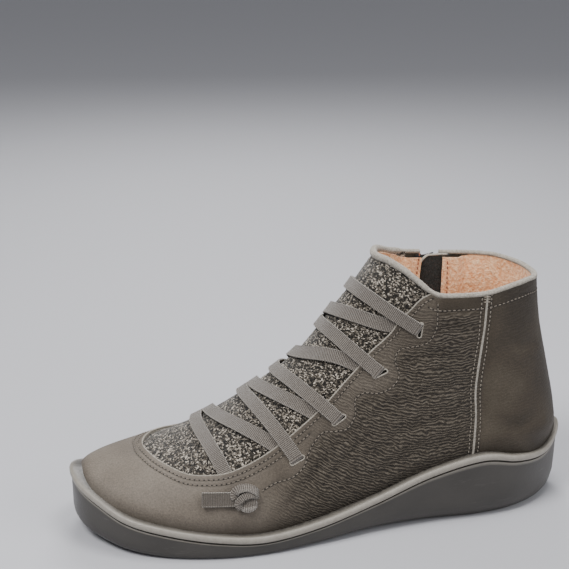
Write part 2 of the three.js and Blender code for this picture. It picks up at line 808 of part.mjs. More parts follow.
// The pull tab hangs by its pin under the bridge: two rails that run into an oval plate with a slot
function zipPullTab() {
  const frame = sliderFrame();
  const inner = bridgeWidth / 2 + gap;
  const outer = inner + railWidth;
  const [low, high] = [pinHeight - tabPin, pinHeight + tabPin];
  const neck = sliderLength / 2 + gap;
  const rails = [1, -1].map((side) => {
    const [near, far] = [side * inner, side * outer];
    return block(frame, [-neck - railWidth, near, low], [tabPin, far, high]);
  });
  const pin = block(frame, [-tabPin, -outer, low], [tabPin, outer, high]);
  const corners = 14;
  const oval = (length, width, start) =>
    stack(
      [low, high].map((h) =>
        count(corners).map((i) => {
          const angle = (i / corners) * 2 * Math.PI;
          const along = start - (length / 2) * (1 - Math.cos(angle));
          return from(frame, along, (width / 2) * Math.sin(angle), h);
        }),
      ),
    );
  const plate = oval(pullLength - neck, pullWidth, -neck);
  const slot = oval(pullLength - neck - 4 * railWidth, pullWidth - 2 * railWidth, -neck - 2 * railWidth);
  return join([...rails, pin, plate.subtract(slot)]);
}

const leather = { color: 0x756c60, roughness: 0.6, metalness: 0 };
const textile = { color: 0x3b3630, roughness: 0.95, metalness: 0 };
const elastic = { color: 0x8a8277, roughness: 0.85, metalness: 0 };
const rubber = { color: 0x6d6861, roughness: 0.7, metalness: 0 };
const edging = { color: 0xb9b1a4, roughness: 0.8, metalness: 0 };
const blackTape = { color: 0x17171a, roughness: 0.9, metalness: 0 };
const darkMetal = { color: 0x3f3b38, roughness: 0.4, metalness: 0.9 };

const boot = new THREE.Group();

function add(name, solid, finish) {
  const { vertProperties, triVerts } = solid.getMesh();
  const geometry = new THREE.BufferGeometry();
  geometry.setAttribute("position", new THREE.BufferAttribute(vertProperties, 3));
  geometry.setIndex(new THREE.BufferAttribute(triVerts, 1));
  const mesh = new THREE.Mesh(geometry, new THREE.MeshStandardMaterial(finish));
  mesh.name = name;
  boot.add(mesh);
}

add("outsole", outsole(), rubber);
add("insole", insole(), textile);
add("upper", upper(), leather);
add("vamp_panel", vampPanel(), textile);
add("collar_binding", collarBinding(), edging);
add("lace_crossings", laceCrossings(), elastic);
add("lace_knot_toe", laceKnot(laceHoles[0], 1, toeTabTurn), elastic);
add("lace_knot_collar", laceKnot(laceHoles[laceHoles.length - 1], -1, collarTabTurn), elastic);
add("zip_tape_front", zipTape(-1), blackTape);
add("zip_tape_rear", zipTape(1), blackTape);
add("zip_chain", zipChain(), blackTape);
add("zip_guard", zipGuard(), blackTape);
add("zip_slider", zipSlider(), darkMetal);
add("zip_pull_tab", zipPullTab(), darkMetal);

export default boot;
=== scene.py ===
# %% [markdown]
# A left ankle boot: leather over a textile panel, a flat elastic lace in a zigzag, an inner side zip and a
# moulded sole with a raised rim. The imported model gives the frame, and everything here is made around it.
# Units are metres, +X runs to the toe, +Y to the outer side and +Z up.

# %% Frame
import json
import math

import bmesh
import bpy
import numpy as np
from mathutils import Matrix, Vector, geometry, kdtree

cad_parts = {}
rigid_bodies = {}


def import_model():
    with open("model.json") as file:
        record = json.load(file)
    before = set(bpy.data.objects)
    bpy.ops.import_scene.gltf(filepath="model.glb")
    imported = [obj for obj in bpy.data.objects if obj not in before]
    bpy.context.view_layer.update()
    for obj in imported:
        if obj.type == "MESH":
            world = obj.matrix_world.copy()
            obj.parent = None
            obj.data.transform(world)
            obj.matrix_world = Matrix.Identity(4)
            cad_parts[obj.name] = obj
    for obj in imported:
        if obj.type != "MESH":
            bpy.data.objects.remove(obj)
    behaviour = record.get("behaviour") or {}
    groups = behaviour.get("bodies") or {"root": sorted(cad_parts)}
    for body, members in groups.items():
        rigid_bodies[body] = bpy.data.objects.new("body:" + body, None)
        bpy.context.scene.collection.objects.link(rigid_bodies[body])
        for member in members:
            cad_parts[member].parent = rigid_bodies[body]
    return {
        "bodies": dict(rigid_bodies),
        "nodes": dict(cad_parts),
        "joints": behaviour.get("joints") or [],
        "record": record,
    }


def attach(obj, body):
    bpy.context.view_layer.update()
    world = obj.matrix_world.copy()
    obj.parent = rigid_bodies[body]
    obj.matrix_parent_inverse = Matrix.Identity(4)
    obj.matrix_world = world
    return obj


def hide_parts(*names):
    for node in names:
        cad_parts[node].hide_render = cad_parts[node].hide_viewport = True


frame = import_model()
for name in ("Cube", "Light", "Camera"):
    if name in bpy.data.objects:
        bpy.data.objects.remove(bpy.data.objects[name])
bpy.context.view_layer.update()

# %% [markdown]
# The camera comes first. The boot is seen from its outer side and a little from above, with a lens long
# enough that its far side hardly shrinks. The three numbers below set the view, and the place is where the
# picture's middle falls.

# %% Camera
view_azimuth, view_elevation = math.radians(167.42), math.radians(17.87)
camera_place = Vector((0.15346, 0.59445, 0.32079))
back = Vector((
    math.sin(view_azimuth) * math.cos(view_elevation),
    -math.cos(view_azimuth) * math.cos(view_elevation),
    math.sin(view_elevation),
))
right = Vector((math.cos(view_azimuth), math.sin(view_azimuth), 0))
up = back.cross(right)
camera_data = bpy.data.cameras.new("camera")
camera_data.sensor_width = 36
camera_data.lens = 80.57
camera_data.clip_start = 0.01
camera = bpy.data.objects.new("camera", camera_data)
camera.matrix_world = Matrix.Translation(camera_place) @ Matrix((right, up, back)).transposed().to_4x4()
bpy.context.scene.collection.objects.link(camera)
bpy.context.scene.camera = camera
print("camera at", [round(c, 3) for c in camera_place])

# %% [markdown]
# A boot is built on a last, a foot-shaped block, so the last comes before any leather. It could be sculpted,
# but a table of sections gives a surface that every piece can share. A place on it has two numbers: t, which
# counts the sections from the toe up to the collar, and an angle round the section, 0 on the ridge and
# positive towards the outer side.

# %% The last
MM = 0.001
sole_length, ball_width, collar_height, heel_height, ball_thickness = 0.264, 0.099, 0.126, 0.021, 0.0065
wall = 1.6 * MM
# topX topZ lowX lowZ lateral medial ridge level crown seat
LAST = np.array([
    [0.483, 0.19, 0.483, 0.19, -0.051, -0.051, -0.051, 0.5, 2.1, 2.1],
    [0.48, 0.246, 0.48, 0.119, 0.071, -0.172, -0.051, 0.48, 2.1, 2.2],
    [0.466, 0.278, 0.466, 0.071, 0.162, -0.242, -0.061, 0.45, 2.1, 2.4],
    [0.439, 0.295, 0.439, 0.048, 0.242, -0.313, -0.071, 0.42, 2.1, 2.5],
    [0.402, 0.311, 0.402, 0.032, 0.313, -0.374, -0.071, 0.4, 2.1, 2.6],
    [0.348, 0.336, 0.348, 0.016, 0.384, -0.429, -0.061, 0.36, 2.1, 2.8],
    [0.288, 0.377, 0.284, 0.008, 0.434, -0.455, -0.051, 0.31, 2.05, 3],
    [0.227, 0.44, 0.212, 0, 0.455, -0.449, -0.04, 0.27, 2, 3],
    [0.167, 0.52, 0.136, 0, 0.449, -0.414, -0.03, 0.23, 2, 3],
    [0.11, 0.607, 0.053, 0.016, 0.419, -0.364, -0.02, 0.22, 2, 3],
    [0.057, 0.698, -0.045, 0.048, 0.379, -0.328, -0.01, 0.24, 2, 3],
    [0.015, 0.802, -0.159, 0.087, 0.348, -0.313, 0, 0.27, 2.1, 2.8],
    [-0.009, 0.865, -0.288, 0.103, 0.333, -0.318, 0, 0.3, 2.2, 2.5],
    [-0.027, 0.913, -0.409, 0.111, 0.328, -0.318, 0, 0.34, 2.3, 2.4],
    [-0.044, 0.952, -0.481, 0.214, 0.323, -0.318, 0, 0.38, 2.35, 2.4],
    [-0.063, 1.004, -0.477, 0.397, 0.323, -0.318, 0, 0.44, 2.3, 2.3],
    [-0.081, 1.056, -0.455, 0.603, 0.321, -0.318, 0, 0.47, 2.2, 2.3],
    [-0.102, 1.111, -0.434, 0.794, 0.318, -0.313, 0, 0.49, 2.15, 2.3],
    [-0.121, 1.167, -0.422, 1, 0.318, -0.313, 0, 0.5, 2.1, 2.3],
    [-0.138, 1.214, -0.419, 1.19, 0.318, -0.313, 0, 0.5, 2.1, 2.3],
])
LAST[:, 0] *= sole_length
LAST[:, 2] *= sole_length
LAST[:, 1] *= collar_height
LAST[:, 3] *= collar_height
LAST[:, 4:7] *= ball_width
t_end = len(LAST) - 1


def column(rows, at):
    """A smooth value between the rows of a table, at one place or at many."""
    rows, at = np.asarray(rows, float), np.asarray(at, float)
    i = np.clip(np.floor(at).astype(int), 0, len(rows) - 2)
    f = (at - i)[..., None] if rows.ndim > 1 else at - i
    a, b, c, d = (rows[np.clip(i + k, 0, len(rows) - 1)] for k in (-1, 0, 1, 2))
    return 0.5 * (2 * b + (c - a) * f + (2 * a - 5 * b + 4 * c - d) * f**2 + (3 * b - 3 * c + d - a) * f**3)


def last_point(t, angle):
    t, angle = np.broadcast_arrays(np.asarray(t, float), np.asarray(angle, float))
    top_x, top_z, low_x, low_z, lateral, medial, ridge, level, crown, seat = np.moveaxis(column(LAST, t), -1, 0)
    c, s = np.cos(angle), np.sin(angle)
    power = 2 / np.where(c > 0, crown, seat)
    rise = level + np.where(c > 0, 1 - level, level) * np.sign(c) * np.abs(c) ** power
    side = np.where(s > 0, lateral, medial)
    return np.stack([
        low_x + (top_x - low_x) * rise,
        ridge + (side - ridge) * np.abs(s) ** power,
        low_z + (top_z - low_z) * rise,
    ], -1)


def unit(v):
    return v / np.maximum(np.linalg.norm(v, axis=-1, keepdims=True), 1e-12)


def last_normal(t, angle, probe=0.02):
    t = np.asarray(t, float)
    along = last_point(np.minimum(t + probe, t_end), angle) - last_point(np.maximum(t - probe, 0), angle)
    across = last_point(t, np.asarray(angle) + probe) - last_point(t, np.asarray(angle) - probe)
    return unit(np.cross(across, along))


def skin(places, offset=0.0):
    """Points of the last at places given as rows of t and angle, moved off the surface by an offset."""
    places = np.asarray(places, float)
    t, angle = places[..., 0], places[..., 1]
    return last_point(t, angle) + last_normal(t, angle) * np.asarray(offset)[..., None]


print("last: toe", np.round(last_point(0, 0), 4), "ball half widths", last_point(6.5, 1.5)[1].round(4))

# %% [markdown]
# Three helpers find places on the last. angle_at takes a share of the way round from the ridge, place_at
# takes a point as seen from the side, and shift moves a line of places sideways by a true distance on the
# surface, which is what a row of stitches beside an edge needs.

# %% Places on the last
angle_grid = np.linspace(0, math.pi, 181)


def angle_at(t, share):
    t, share = np.broadcast_arrays(np.asarray(t, float), np.asarray(share, float))
    found = np.zeros(t.shape)
    for k in np.ndindex(t.shape):
        side = -1 if share[k] < 0 else 1
        ring = last_point(t[k], side * angle_grid)
        length = np.concatenate([[0], np.cumsum(np.linalg.norm(np.diff(ring, axis=0), axis=1))])
        found[k] = side * np.interp(abs(share[k]) * length[-1], length, angle_grid)
    return found


def place_at(x, z, side):
    x, z = np.broadcast_arrays(np.asarray(x, float), np.asarray(z, float))
    low, high = np.full(x.shape, 0.35), np.full(x.shape, float(t_end))
    for _ in range(40):
        t = (low + high) / 2
        top_x, top_z, low_x, low_z = np.moveaxis(column(LAST, t)[..., :4], -1, 0)
        ahead = (top_x - low_x) * (z - low_z) > (top_z - low_z) * (x - low_x)
        low, high = np.where(ahead, t, low), np.where(ahead, high, t)
    row = column(LAST, low)
    ray = row[..., 0:2] - row[..., 2:4]
    rise = ((x - row[..., 2]) * ray[..., 0] + (z - row[..., 3]) * ray[..., 1]) / (ray**2).sum(-1)
    level = row[..., 7]
    above = rise > level
    power = 2 / np.where(above, row[..., 8], row[..., 9])
    reach = np.where(above, (rise - level) / (1 - level), (level - rise) / level)
    cosine = np.clip(reach, 0, 1) ** (1 / power) * np.where(above, 1, -1)
    return np.stack([low, side * np.arccos(cosine)], -1)


def partials(places, probe=0.02):
    t, angle = places[..., 0], places[..., 1]
    by_t = (last_point(t + probe, angle) - last_point(t - probe, angle)) / (2 * probe)
    by_angle = (last_point(t, angle + probe) - last_point(t, angle - probe)) / (2 * probe)
    return by_t, by_angle


def directions(places):
    """Along, across and out of the surface, for each place of a line."""
    points = skin(places)
    normal = last_normal(places[:, 0], places[:, 1])
    along = np.gradient(points, axis=0)
    along = unit(along - normal * (along * normal).sum(-1, keepdims=True))
    return points, along, np.cross(normal, along), normal


def shift(places, distance):
    """The line moved across itself, to its left as seen from outside, by a true distance."""
    _, _, across, _ = directions(places)
    by_t, by_angle = partials(places)
    wanted = across * np.broadcast_to(distance, (len(places),))[:, None]
    aa, ab, bb = (by_t**2).sum(-1), (by_t * by_angle).sum(-1), (by_angle**2).sum(-1)
    ra, rb = (by_t * wanted).sum(-1), (by_angle * wanted).sum(-1)
    det = np.maximum(aa * bb - ab**2, 1e-14)
    return places + np.stack([(bb * ra - ab * rb) / det, (aa * rb - ab * ra) / det], -1)


def line_length(points):
    return np.concatenate([[0], np.cumsum(np.linalg.norm(np.diff(points, axis=0), axis=1))])


def resample(places, step):
    """The same line with places a true step apart."""
    length = line_length(last_point(places[:, 0], places[:, 1]))
    at = np.linspace(0, length[-1], max(2, int(round(length[-1] / step)) + 1))
    return np.stack([np.interp(at, length, places[:, k]) for k in (0, 1)], -1)


def smooth_line(rows, steps=12):
    rows = np.asarray(rows, float)
    return column(rows, np.linspace(0, len(rows) - 1, (len(rows) - 1) * steps + 1))


# %% [markdown]
# The lines of the boot: the collar, the edges of the leather beside the lace, the rim of the sole, the zip
# and the seams. They are read from the picture once, as places on the last, and every piece that meets a
# line uses the same one.

# %% Lines of the boot
# x, height of the collar on the outer and on the inner side, as shares
COLLAR = np.array([
    [0.02, 1.087, 1.087], [-0.076, 1.087, 1.087], [-0.105, 1.086, 1.086], [-0.129, 1.058, 1.06],
    [-0.148, 1.026, 1.04], [-0.167, 0.992, 1.031], [-0.193, 0.963, 1.023], [-0.227, 0.963, 1.013],
    [-0.284, 0.964, 1], [-0.341, 0.987, 0.996], [-0.38, 0.994, 0.994], [-0.428, 0.979, 0.979],
    [-0.56, 0.975, 0.975],
])
# t, share to the outer and to the inner edge of the leather beside the lace
THROAT = np.array([
    [4.82, 0.0, 0.0], [4.91, 0.075, 0.075], [5.24, 0.185, 0.185], [5.88, 0.284, 0.284],
    [6.57, 0.323, 0.323], [7.28, 0.337, 0.337], [8.5, 0.322, 0.322], [9.63, 0.293, 0.293],
    [11.5, 0.241, 0.241], [12.62, 0.209, 0.209], [14.25, 0.204, 0.204], [15.12, 0.231, 0.22],
    [16.03, 0.271, 0.24], [16.7, 0.325, 0.26], [17.8, 0.4, 0.28], [19, 0.42, 0.28],
])
# x, outer and inner half width, outer and inner rim, tuck, outer and inner lift of the sole
SOLE = np.array([
    [0.5, -0.051, -0.051, 1.57, 1.57, 0.17, 0.29, 0.29],
    [0.4905, 0.081, -0.167, 1.48, 1.48, 0.17, 0.25, 0.25],
    [0.462, 0.202, -0.268, 1.29, 1.29, 0.17, 0.17, 0.17],
    [0.409, 0.343, -0.399, 1, 1, 0.19, 0.07, 0.07],
    [0.333, 0.439, -0.48, 0.81, 0.82, 0.19, 0, 0],
    [0.242, 0.492, -0.5, 0.63, 0.66, 0.19, 0, 0],
    [0.152, 0.497, -0.465, 0.53, 0.58, 0.21, 0, 0],
    [0.045, 0.459, -0.394, 0.67, 0.79, 0.26, 0.03, 0.06],
    [-0.068, 0.404, -0.341, 1, 1.14, 0.31, 0.07, 0.14],
    [-0.182, 0.374, -0.327, 1.48, 1.45, 0.33, 0.04, 0.08],
    [-0.288, 0.368, -0.346, 1.76, 1.56, 0.33, 0, 0],
    [-0.367, 0.331, -0.328, 1.58, 1.53, 0.33, 0, 0],
    [-0.432, 0.24, -0.24, 1.47, 1.47, 0.31, 0, 0],
    [-0.477, 0.126, -0.126, 1.6, 1.6, 0.29, 0.03, 0.03],
    [-0.5, 0, 0, 1.79, 1.79, 0.29, 0.06, 0.06],
])
# x and rise of the bed inside the sole, from the ball's thickness to the heel's height
BED = np.array([
    [0.56, 0.56], [0.492, 0.517], [0.38, 0.207], [0.23, 0], [0.15, 0], [0.038, 0.172],
    [-0.076, 0.517], [-0.19, 0.862], [-0.3, 1], [-0.56, 1],
])


def lookup(rows, x, key):
    """A value along a table that is sorted by its first column, which falls."""
    return np.interp(np.asarray(x) / sole_length, rows[::-1, 0], rows[::-1, key])


def smoothstep(a, b, x):
    f = np.clip((np.asarray(x, float) - a) / (b - a), 0, 1)
    return f * f * (3 - 2 * f)


def collar_height_at(x, y):
    outer = smoothstep(-12 * MM, 12 * MM, y)
    return (lookup(COLLAR, x, 1) * outer + lookup(COLLAR, x, 2) * (1 - outer)) * collar_height


def rim_height_at(x, y):
    outer = smoothstep(-6 * MM, 6 * MM, y)
    return (lookup(SOLE, x, 3) * outer + lookup(SOLE, x, 4) * (1 - outer)) * heel_height


def bed_height_at(x):
    return ball_thickness + (heel_height - ball_thickness) * lookup(BED, x, 1)


def collar_t(angle, lift=0.0):
    """The t at which the surface reaches the collar's edge, for each angle."""
    angle = np.asarray(angle, float)
    low, high = np.full(angle.shape, 12.0), np.full(angle.shape, 19.0)
    for _ in range(30):
        t = (low + high) / 2
        p = last_point(t, angle)
        below = p[..., 2] < collar_height_at(p[..., 0], p[..., 1]) + lift
        low, high = np.where(below, t, low), np.where(below, high, t)
    return low


def bottom_angle(t, side, under_rim):
    """The angle at which each section dips a given depth under the rim of the sole, or a half turn."""
    t = np.asarray(t, float)
    low, high = np.zeros(t.shape), np.full(t.shape, math.pi)
    for _ in range(40):
        angle = (low + high) / 2
        p = last_point(t, side * angle)
        above = p[..., 2] > rim_height_at(p[..., 0], p[..., 1]) - under_rim
        low, high = np.where(above, angle, low), np.where(above, high, angle)
    return low


def throat_line(side, count=240):
    """The edge of the leather beside the lace, from the toe end up past the collar."""
    rows = smooth_line(THROAT, count // 15)
    share = np.maximum(rows[:, 1 if side > 0 else 2], 0)
    return np.stack([rows[:, 0], angle_at(rows[:, 0], side * share)], -1)


def on_side(points, side, steps=10):
    """A smooth line through places that are seen from the side, given as x and z in millimetres."""
    rows = smooth_line(points, steps) * MM
    return place_at(rows[:, 0], rows[:, 1], side)


zip_line = on_side([(-57.6, 27), (-59.5, 46), (-61.6, 66), (-63.4, 88), (-64.4, 106), (-65, 130)], -1)
zip_half_top, zip_half_bottom = 4.5 * MM, 6 * MM
print("collar t at ridge, outer, back", collar_t([0, 1.5, math.pi]).round(2))
# %% [markdown]
# Materials. Leather, felt, elastic and rubber have little colour of their own: what tells them apart is the
# grain, so each one is a small node tree of noises on object coordinates that feeds colour, roughness and
# bump. A helper keeps the trees short: it adds a node and links what it is given.

# %% Material helpers


class Tree:
    """A material's node tree, built in a few words."""

    def __init__(self, name, roughness, specular=0.4, sheen=0.0, coat=0.0, metallic=0.0):
        self.material = bpy.data.materials.new(name)
        self.material.use_nodes = True
        self.nodes, self.links = self.material.node_tree.nodes, self.material.node_tree.links
        self.shader = self.nodes["Principled BSDF"]
        self.shader.inputs["Roughness"].default_value = roughness
        self.shader.inputs["Specular IOR Level"].default_value = specular
        self.shader.inputs["Sheen Weight"].default_value = sheen
        self.shader.inputs["Coat Weight"].default_value = coat
        self.shader.inputs["Metallic"].default_value = metallic
        self.place = self.add("ShaderNodeTexCoord").outputs["Object"]

    def add(self, kind, settings=None, **inputs):
        node = self.nodes.new(kind)
        for key, value in (settings or {}).items():
            setattr(node, key, value)
        for key, value in inputs.items():
            self.link(value, node.inputs[key.replace("_", " ")])
        return node

    def link(self, value, socket):
        if isinstance(value, bpy.types.NodeSocket):
            self.links.new(value, socket)
        else:
            socket.default_value = value

    def mapping(self, scale, vector=None, rotation=(0, 0, 0)):
        node = self.add("ShaderNodeMapping", Vector=vector or self.place, Scale=scale, Rotation=rotation)
        return node.outputs["Vector"]

    def noise(self, scale, detail=2.0, vector=None, roughness=0.5, distortion=0.0):
        node = self.add("ShaderNodeTexNoise", Vector=vector or self.place, Scale=scale, Detail=detail,
                        Roughness=roughness, Distortion=distortion)
        return node.outputs["Fac"]

    def voronoi(self, scale, vector=None, feature="F1", output="Distance"):
        node = self.add("ShaderNodeTexVoronoi", {"feature": feature}, Vector=vector or self.place, Scale=scale)
        return node.outputs[output]

    def attribute(self, name, output="Fac"):
        node = self.add("ShaderNodeAttribute", {"attribute_name": name})
        return node.outputs[output]

    def math(self, operation, a, b=0.0, clamp=False):
        node = self.nodes.new("ShaderNodeMath")
        node.operation, node.use_clamp = operation, clamp
        self.link(a, node.inputs[0])
        self.link(b, node.inputs[1])
        return node.outputs[0]

    def span(self, value, low, high, to_low=0.0, to_high=1.0):
        node = self.nodes.new("ShaderNodeMapRange")
        for key, v in zip(("Value", "From Min", "From Max", "To Min", "To Max"), (value, low, high, to_low, to_high)):
            self.link(v, node.inputs[key])
        return node.outputs["Result"]

    def ramp(self, value, *stops):
        node = self.add("ShaderNodeValToRGB", Fac=value)
        ramp = node.color_ramp
        while len(ramp.elements) < len(stops):
            ramp.elements.new(0.5)
        for element, (at, color) in zip(ramp.elements, stops):
            element.position, element.color = at, (*color, 1)
        return node.outputs["Color"]

    def mix(self, factor, a, b, blend="MIX"):
        node = self.nodes.new("ShaderNodeMix")
        node.data_type, node.blend_type = "RGBA", blend
        self.link(factor, node.inputs[0])
        for value, socket in ((a, node.inputs[6]), (b, node.inputs[7])):
            self.link((*value, 1) if isinstance(value, tuple) else value, socket)
        return node.outputs[2]

    def color(self, value):
        self.link((*value, 1) if isinstance(value, tuple) else value, self.shader.inputs["Base Color"])

    def rough(self, value):
        self.link(value, self.shader.inputs["Roughness"])

    def bump(self, *layers):
        """Layers of height, each with its depth in metres, one over the other."""
        normal = None
        for height, depth in layers:
            node = self.add("ShaderNodeBump", Height=height, Distance=depth, Strength=1.0)
            if normal is not None:
                self.links.new(normal, node.inputs["Normal"])
            normal = node.outputs["Normal"]
        self.links.new(normal, self.shader.inputs["Normal"])


# %% [markdown]
# The leather is a taupe nubuck-like hide. The outer quarter is drawn into fine wavy wrinkles, the toe and the
# heel are smooth. The leather near the sole and along the sunken stitch lines is darkened with painted shade,
# the wrinkles carry painted shade and highlights, and the toe and the band beside the lace are paler leather
# with painted light on top. Two attributes of the mesh say where the wrinkles are and how they run, so they
# follow the boot and not the world.

# %% Leather
leather = Tree("creased_leather", 0.6, specular=0.3, sheen=0.03)
run = leather.attribute("run", "Vector")
mask = leather.attribute("wrinkled")
shade = leather.attribute("shade")
pale_and_lit = leather.attribute("pale_and_lit")
ripple = leather.add("ShaderNodeTexWave", {"bands_direction": "Y"}, Vector=leather.mapping((170, 195, 0), run),
                     Scale=1.0, Distortion=10.0, Detail=2.0, Detail_Scale=0.8, Detail_Roughness=0.6).outputs["Fac"]
breaks = leather.noise(1.0, 3.0, leather.mapping((420, 1050, 0), run), 0.6, 0.8)
waves = leather.math("ADD", leather.math("MULTIPLY", ripple, 0.3), leather.math("MULTIPLY", breaks, 0.7))
fold = leather.noise(1.0, 1.0, leather.mapping((70, 330, 0), run), 0.5, 0.6)
pebble = leather.noise(1150, 2.5, roughness=0.62)
pores = leather.voronoi(900)
clouds = leather.noise(26, 3.0)
streak = leather.math("MULTIPLY", leather.span(waves, 0.36, 0.64), mask)
dark_tone = leather.ramp(clouds, (0.3, (0.025, 0.018, 0.011)), (0.5, (0.046, 0.035, 0.023)), (0.72, (0.08, 0.065, 0.046)))
# A paler hide for the toe and beside the lace: partly paler leather, partly painted light.
pale_lit_hide = leather.ramp(clouds, (0.3, (0.1, 0.082, 0.064)), (0.5, (0.135, 0.113, 0.09)), (0.72, (0.175, 0.15, 0.123)))
tone = leather.mix(pale_and_lit, dark_tone, pale_lit_hide)
# Painted shade in the wrinkles' troughs and painted highlights on their ridges.
crease_shading = leather.ramp(leather.span(waves, 0.35, 0.65), (0.0, (0.010, 0.007, 0.005)),
                       (0.4, (0.031, 0.024, 0.016)), (0.7, (0.05, 0.04, 0.028)), (1.0, (0.105, 0.088, 0.067)))
crease_shading = leather.mix(leather.math("MULTIPLY", pale_and_lit, 0.45), crease_shading, pale_lit_hide)
skin_color = leather.mix(leather.math("MULTIPLY", mask, 0.92), tone, crease_shading)
speckle = leather.span(pebble, 0.3, 0.7, 0.8, 1.17)
grey = leather.add("ShaderNodeCombineColor", Red=speckle, Green=speckle, Blue=speckle).outputs[0]
skin_color = leather.mix(1.0, skin_color, grey, "MULTIPLY")
# Painted shade near the sole's rim and along the sunken stitch lines.
leather.color(leather.mix(shade, skin_color, (0.014, 0.011, 0.008)))
leather.rough(leather.span(clouds, 0.3, 0.7, 0.56, 0.72))
leather.bump(
    (leather.math("MULTIPLY", fold, mask), 0.4 * MM),
    (leather.math("MULTIPLY", waves, mask), 0.7 * MM),
    (pebble, 0.17 * MM),
    (pores, 0.07 * MM),
)

# %% [markdown]
# The other finishes: felt with light and dark hairs, ribbed elastic, rubber in two tones with painted shade
# in its hollows and a painted highlight on its paler bead, the pale cut edges, fleece, black tape and dark metal.

# %% Felt
felt = Tree("speckled_felt", 0.95, specular=0.15, sheen=0.25)
flock = felt.voronoi(1150, felt.mapping((1, 1, 1.25)), output="Color")
flock = felt.math("ADD", flock, 0.0)
hairs = felt.noise(980, 3.0, felt.mapping((1, 1.0, 1.7)), 0.7, 0.8)
tufts = felt.noise(330, 2.0)
blend = felt.math("ADD", felt.math("MULTIPLY", hairs, 0.62), felt.math("MULTIPLY", flock, 0.38))
felt.color(felt.ramp(blend, (0.42, (0.007, 0.0055, 0.004)), (0.5, (0.028, 0.0225, 0.016)),
                     (0.57, (0.12, 0.101, 0.078)), (0.67, (0.55, 0.49, 0.41))))
felt.bump((tufts, 0.5 * MM), (hairs, 0.9 * MM))

# %% Elastic
elastic = Tree("ribbed_elastic", 0.85, specular=0.2, sheen=0.3)
uv = elastic.add("ShaderNodeUVMap", {"uv_map": "band"}).outputs["UV"]
axes = elastic.add("ShaderNodeSeparateXYZ", Vector=uv)
ribs = elastic.math("SINE", elastic.math("MULTIPLY", axes.outputs["X"], 2 * math.pi / (0.85 * MM)))
edge = elastic.span(elastic.math("ABSOLUTE", elastic.math("SUBTRACT", axes.outputs["Y"], 0.5)), 0.40, 0.47)
fibre = elastic.noise(1.0, 2.0, elastic.mapping((2400, 20, 1), uv), 0.6)
patch = elastic.noise(90, 2.0)
yarn = elastic.math("ADD", elastic.math("MULTIPLY", ribs, 0.24), fibre)
woven = elastic.ramp(yarn, (0.3, (0.075, 0.062, 0.05)), (0.55, (0.16, 0.138, 0.117)), (0.8, (0.27, 0.24, 0.208)))
woven = elastic.mix(elastic.span(patch, 0.35, 0.7, 0, 0.35), woven, (0.12, 0.103, 0.087))
# The back attribute only makes the band's colour darker.
woven = elastic.mix(elastic.attribute("back"), woven, (0.075, 0.062, 0.049))
elastic.color(elastic.mix(edge, woven, elastic.ramp(yarn, (0.3, (0.16, 0.14, 0.12)), (0.75, (0.40, 0.365, 0.32)))))
elastic.bump((ribs, 0.2 * MM), (fibre, 0.25 * MM), (edge, 0.35 * MM))

# %% Rubber
rubber = Tree("sole_rubber", 0.5, specular=0.45)
cloud = rubber.noise(30, 3.0)
dust = rubber.noise(420, 4.0, roughness=0.7)
# This attribute is painted shade: it darkens the groove, the foot of the wall, the bead's underside, the lip and the
# bottom.
painted_shade = rubber.attribute("painted_shade")
rubber_tone = rubber.ramp(cloud, (0.3, (0.036, 0.033, 0.029)), (0.7, (0.054, 0.049, 0.043)))
# Partly the rubber's paler colour and partly a painted highlight along the bead.
pale_and_lit_tone = rubber.ramp(dust, (0.3, (0.25, 0.228, 0.193)), (0.7, (0.31, 0.285, 0.245)))
rubber_color = rubber.mix(rubber.attribute("bead"), rubber_tone, pale_and_lit_tone)
scuffs = rubber.span(rubber.noise(1.0, 3.0, rubber.mapping((60, 60, 520)), 0.65, 1.2), 0.62, 0.75, 0, 0.35)
rubber_color = rubber.mix(scuffs, rubber_color, (0.13, 0.12, 0.108))
rubber.color(rubber.mix(rubber.math("MULTIPLY", painted_shade, rubber.span(dust, 0.3, 0.6, 0.75, 1)), rubber_color, (0.035, 0.031, 0.027)))
rubber.rough(rubber.span(cloud, 0.3, 0.7, 0.34, 0.5))
rubber.bump((dust, 0.10 * MM), (rubber.noise(1900, 2.0), 0.05 * MM))


# %% Small finishes


def plain_cloth(name, dark, light, scale, depth, roughness=0.9, sheen=0.2):
    tree = Tree(name, roughness, specular=0.2, sheen=sheen)
    grain = tree.noise(scale, 3.0, roughness=0.65)
    tree.color(tree.ramp(grain, (0.32, dark), (0.68, light)))
    tree.bump((grain, depth * MM))
    return tree.material


cut_edge = plain_cloth("cut_edge", (0.19, 0.168, 0.138), (0.36, 0.33, 0.28), 1300, 0.2)
piping = plain_cloth("pale_piping", (0.2, 0.18, 0.15), (0.38, 0.35, 0.30), 1000, 0.3)
thread = plain_cloth("thread", (0.11, 0.09, 0.07), (0.21, 0.18, 0.147), 2500, 0.1)
pale_thread = plain_cloth("pale_thread", (0.14, 0.118, 0.092), (0.27, 0.236, 0.193), 2500, 0.1)
rust_thread = plain_cloth("rust_thread", (0.16, 0.05, 0.028), (0.36, 0.14, 0.085), 2500, 0.1)
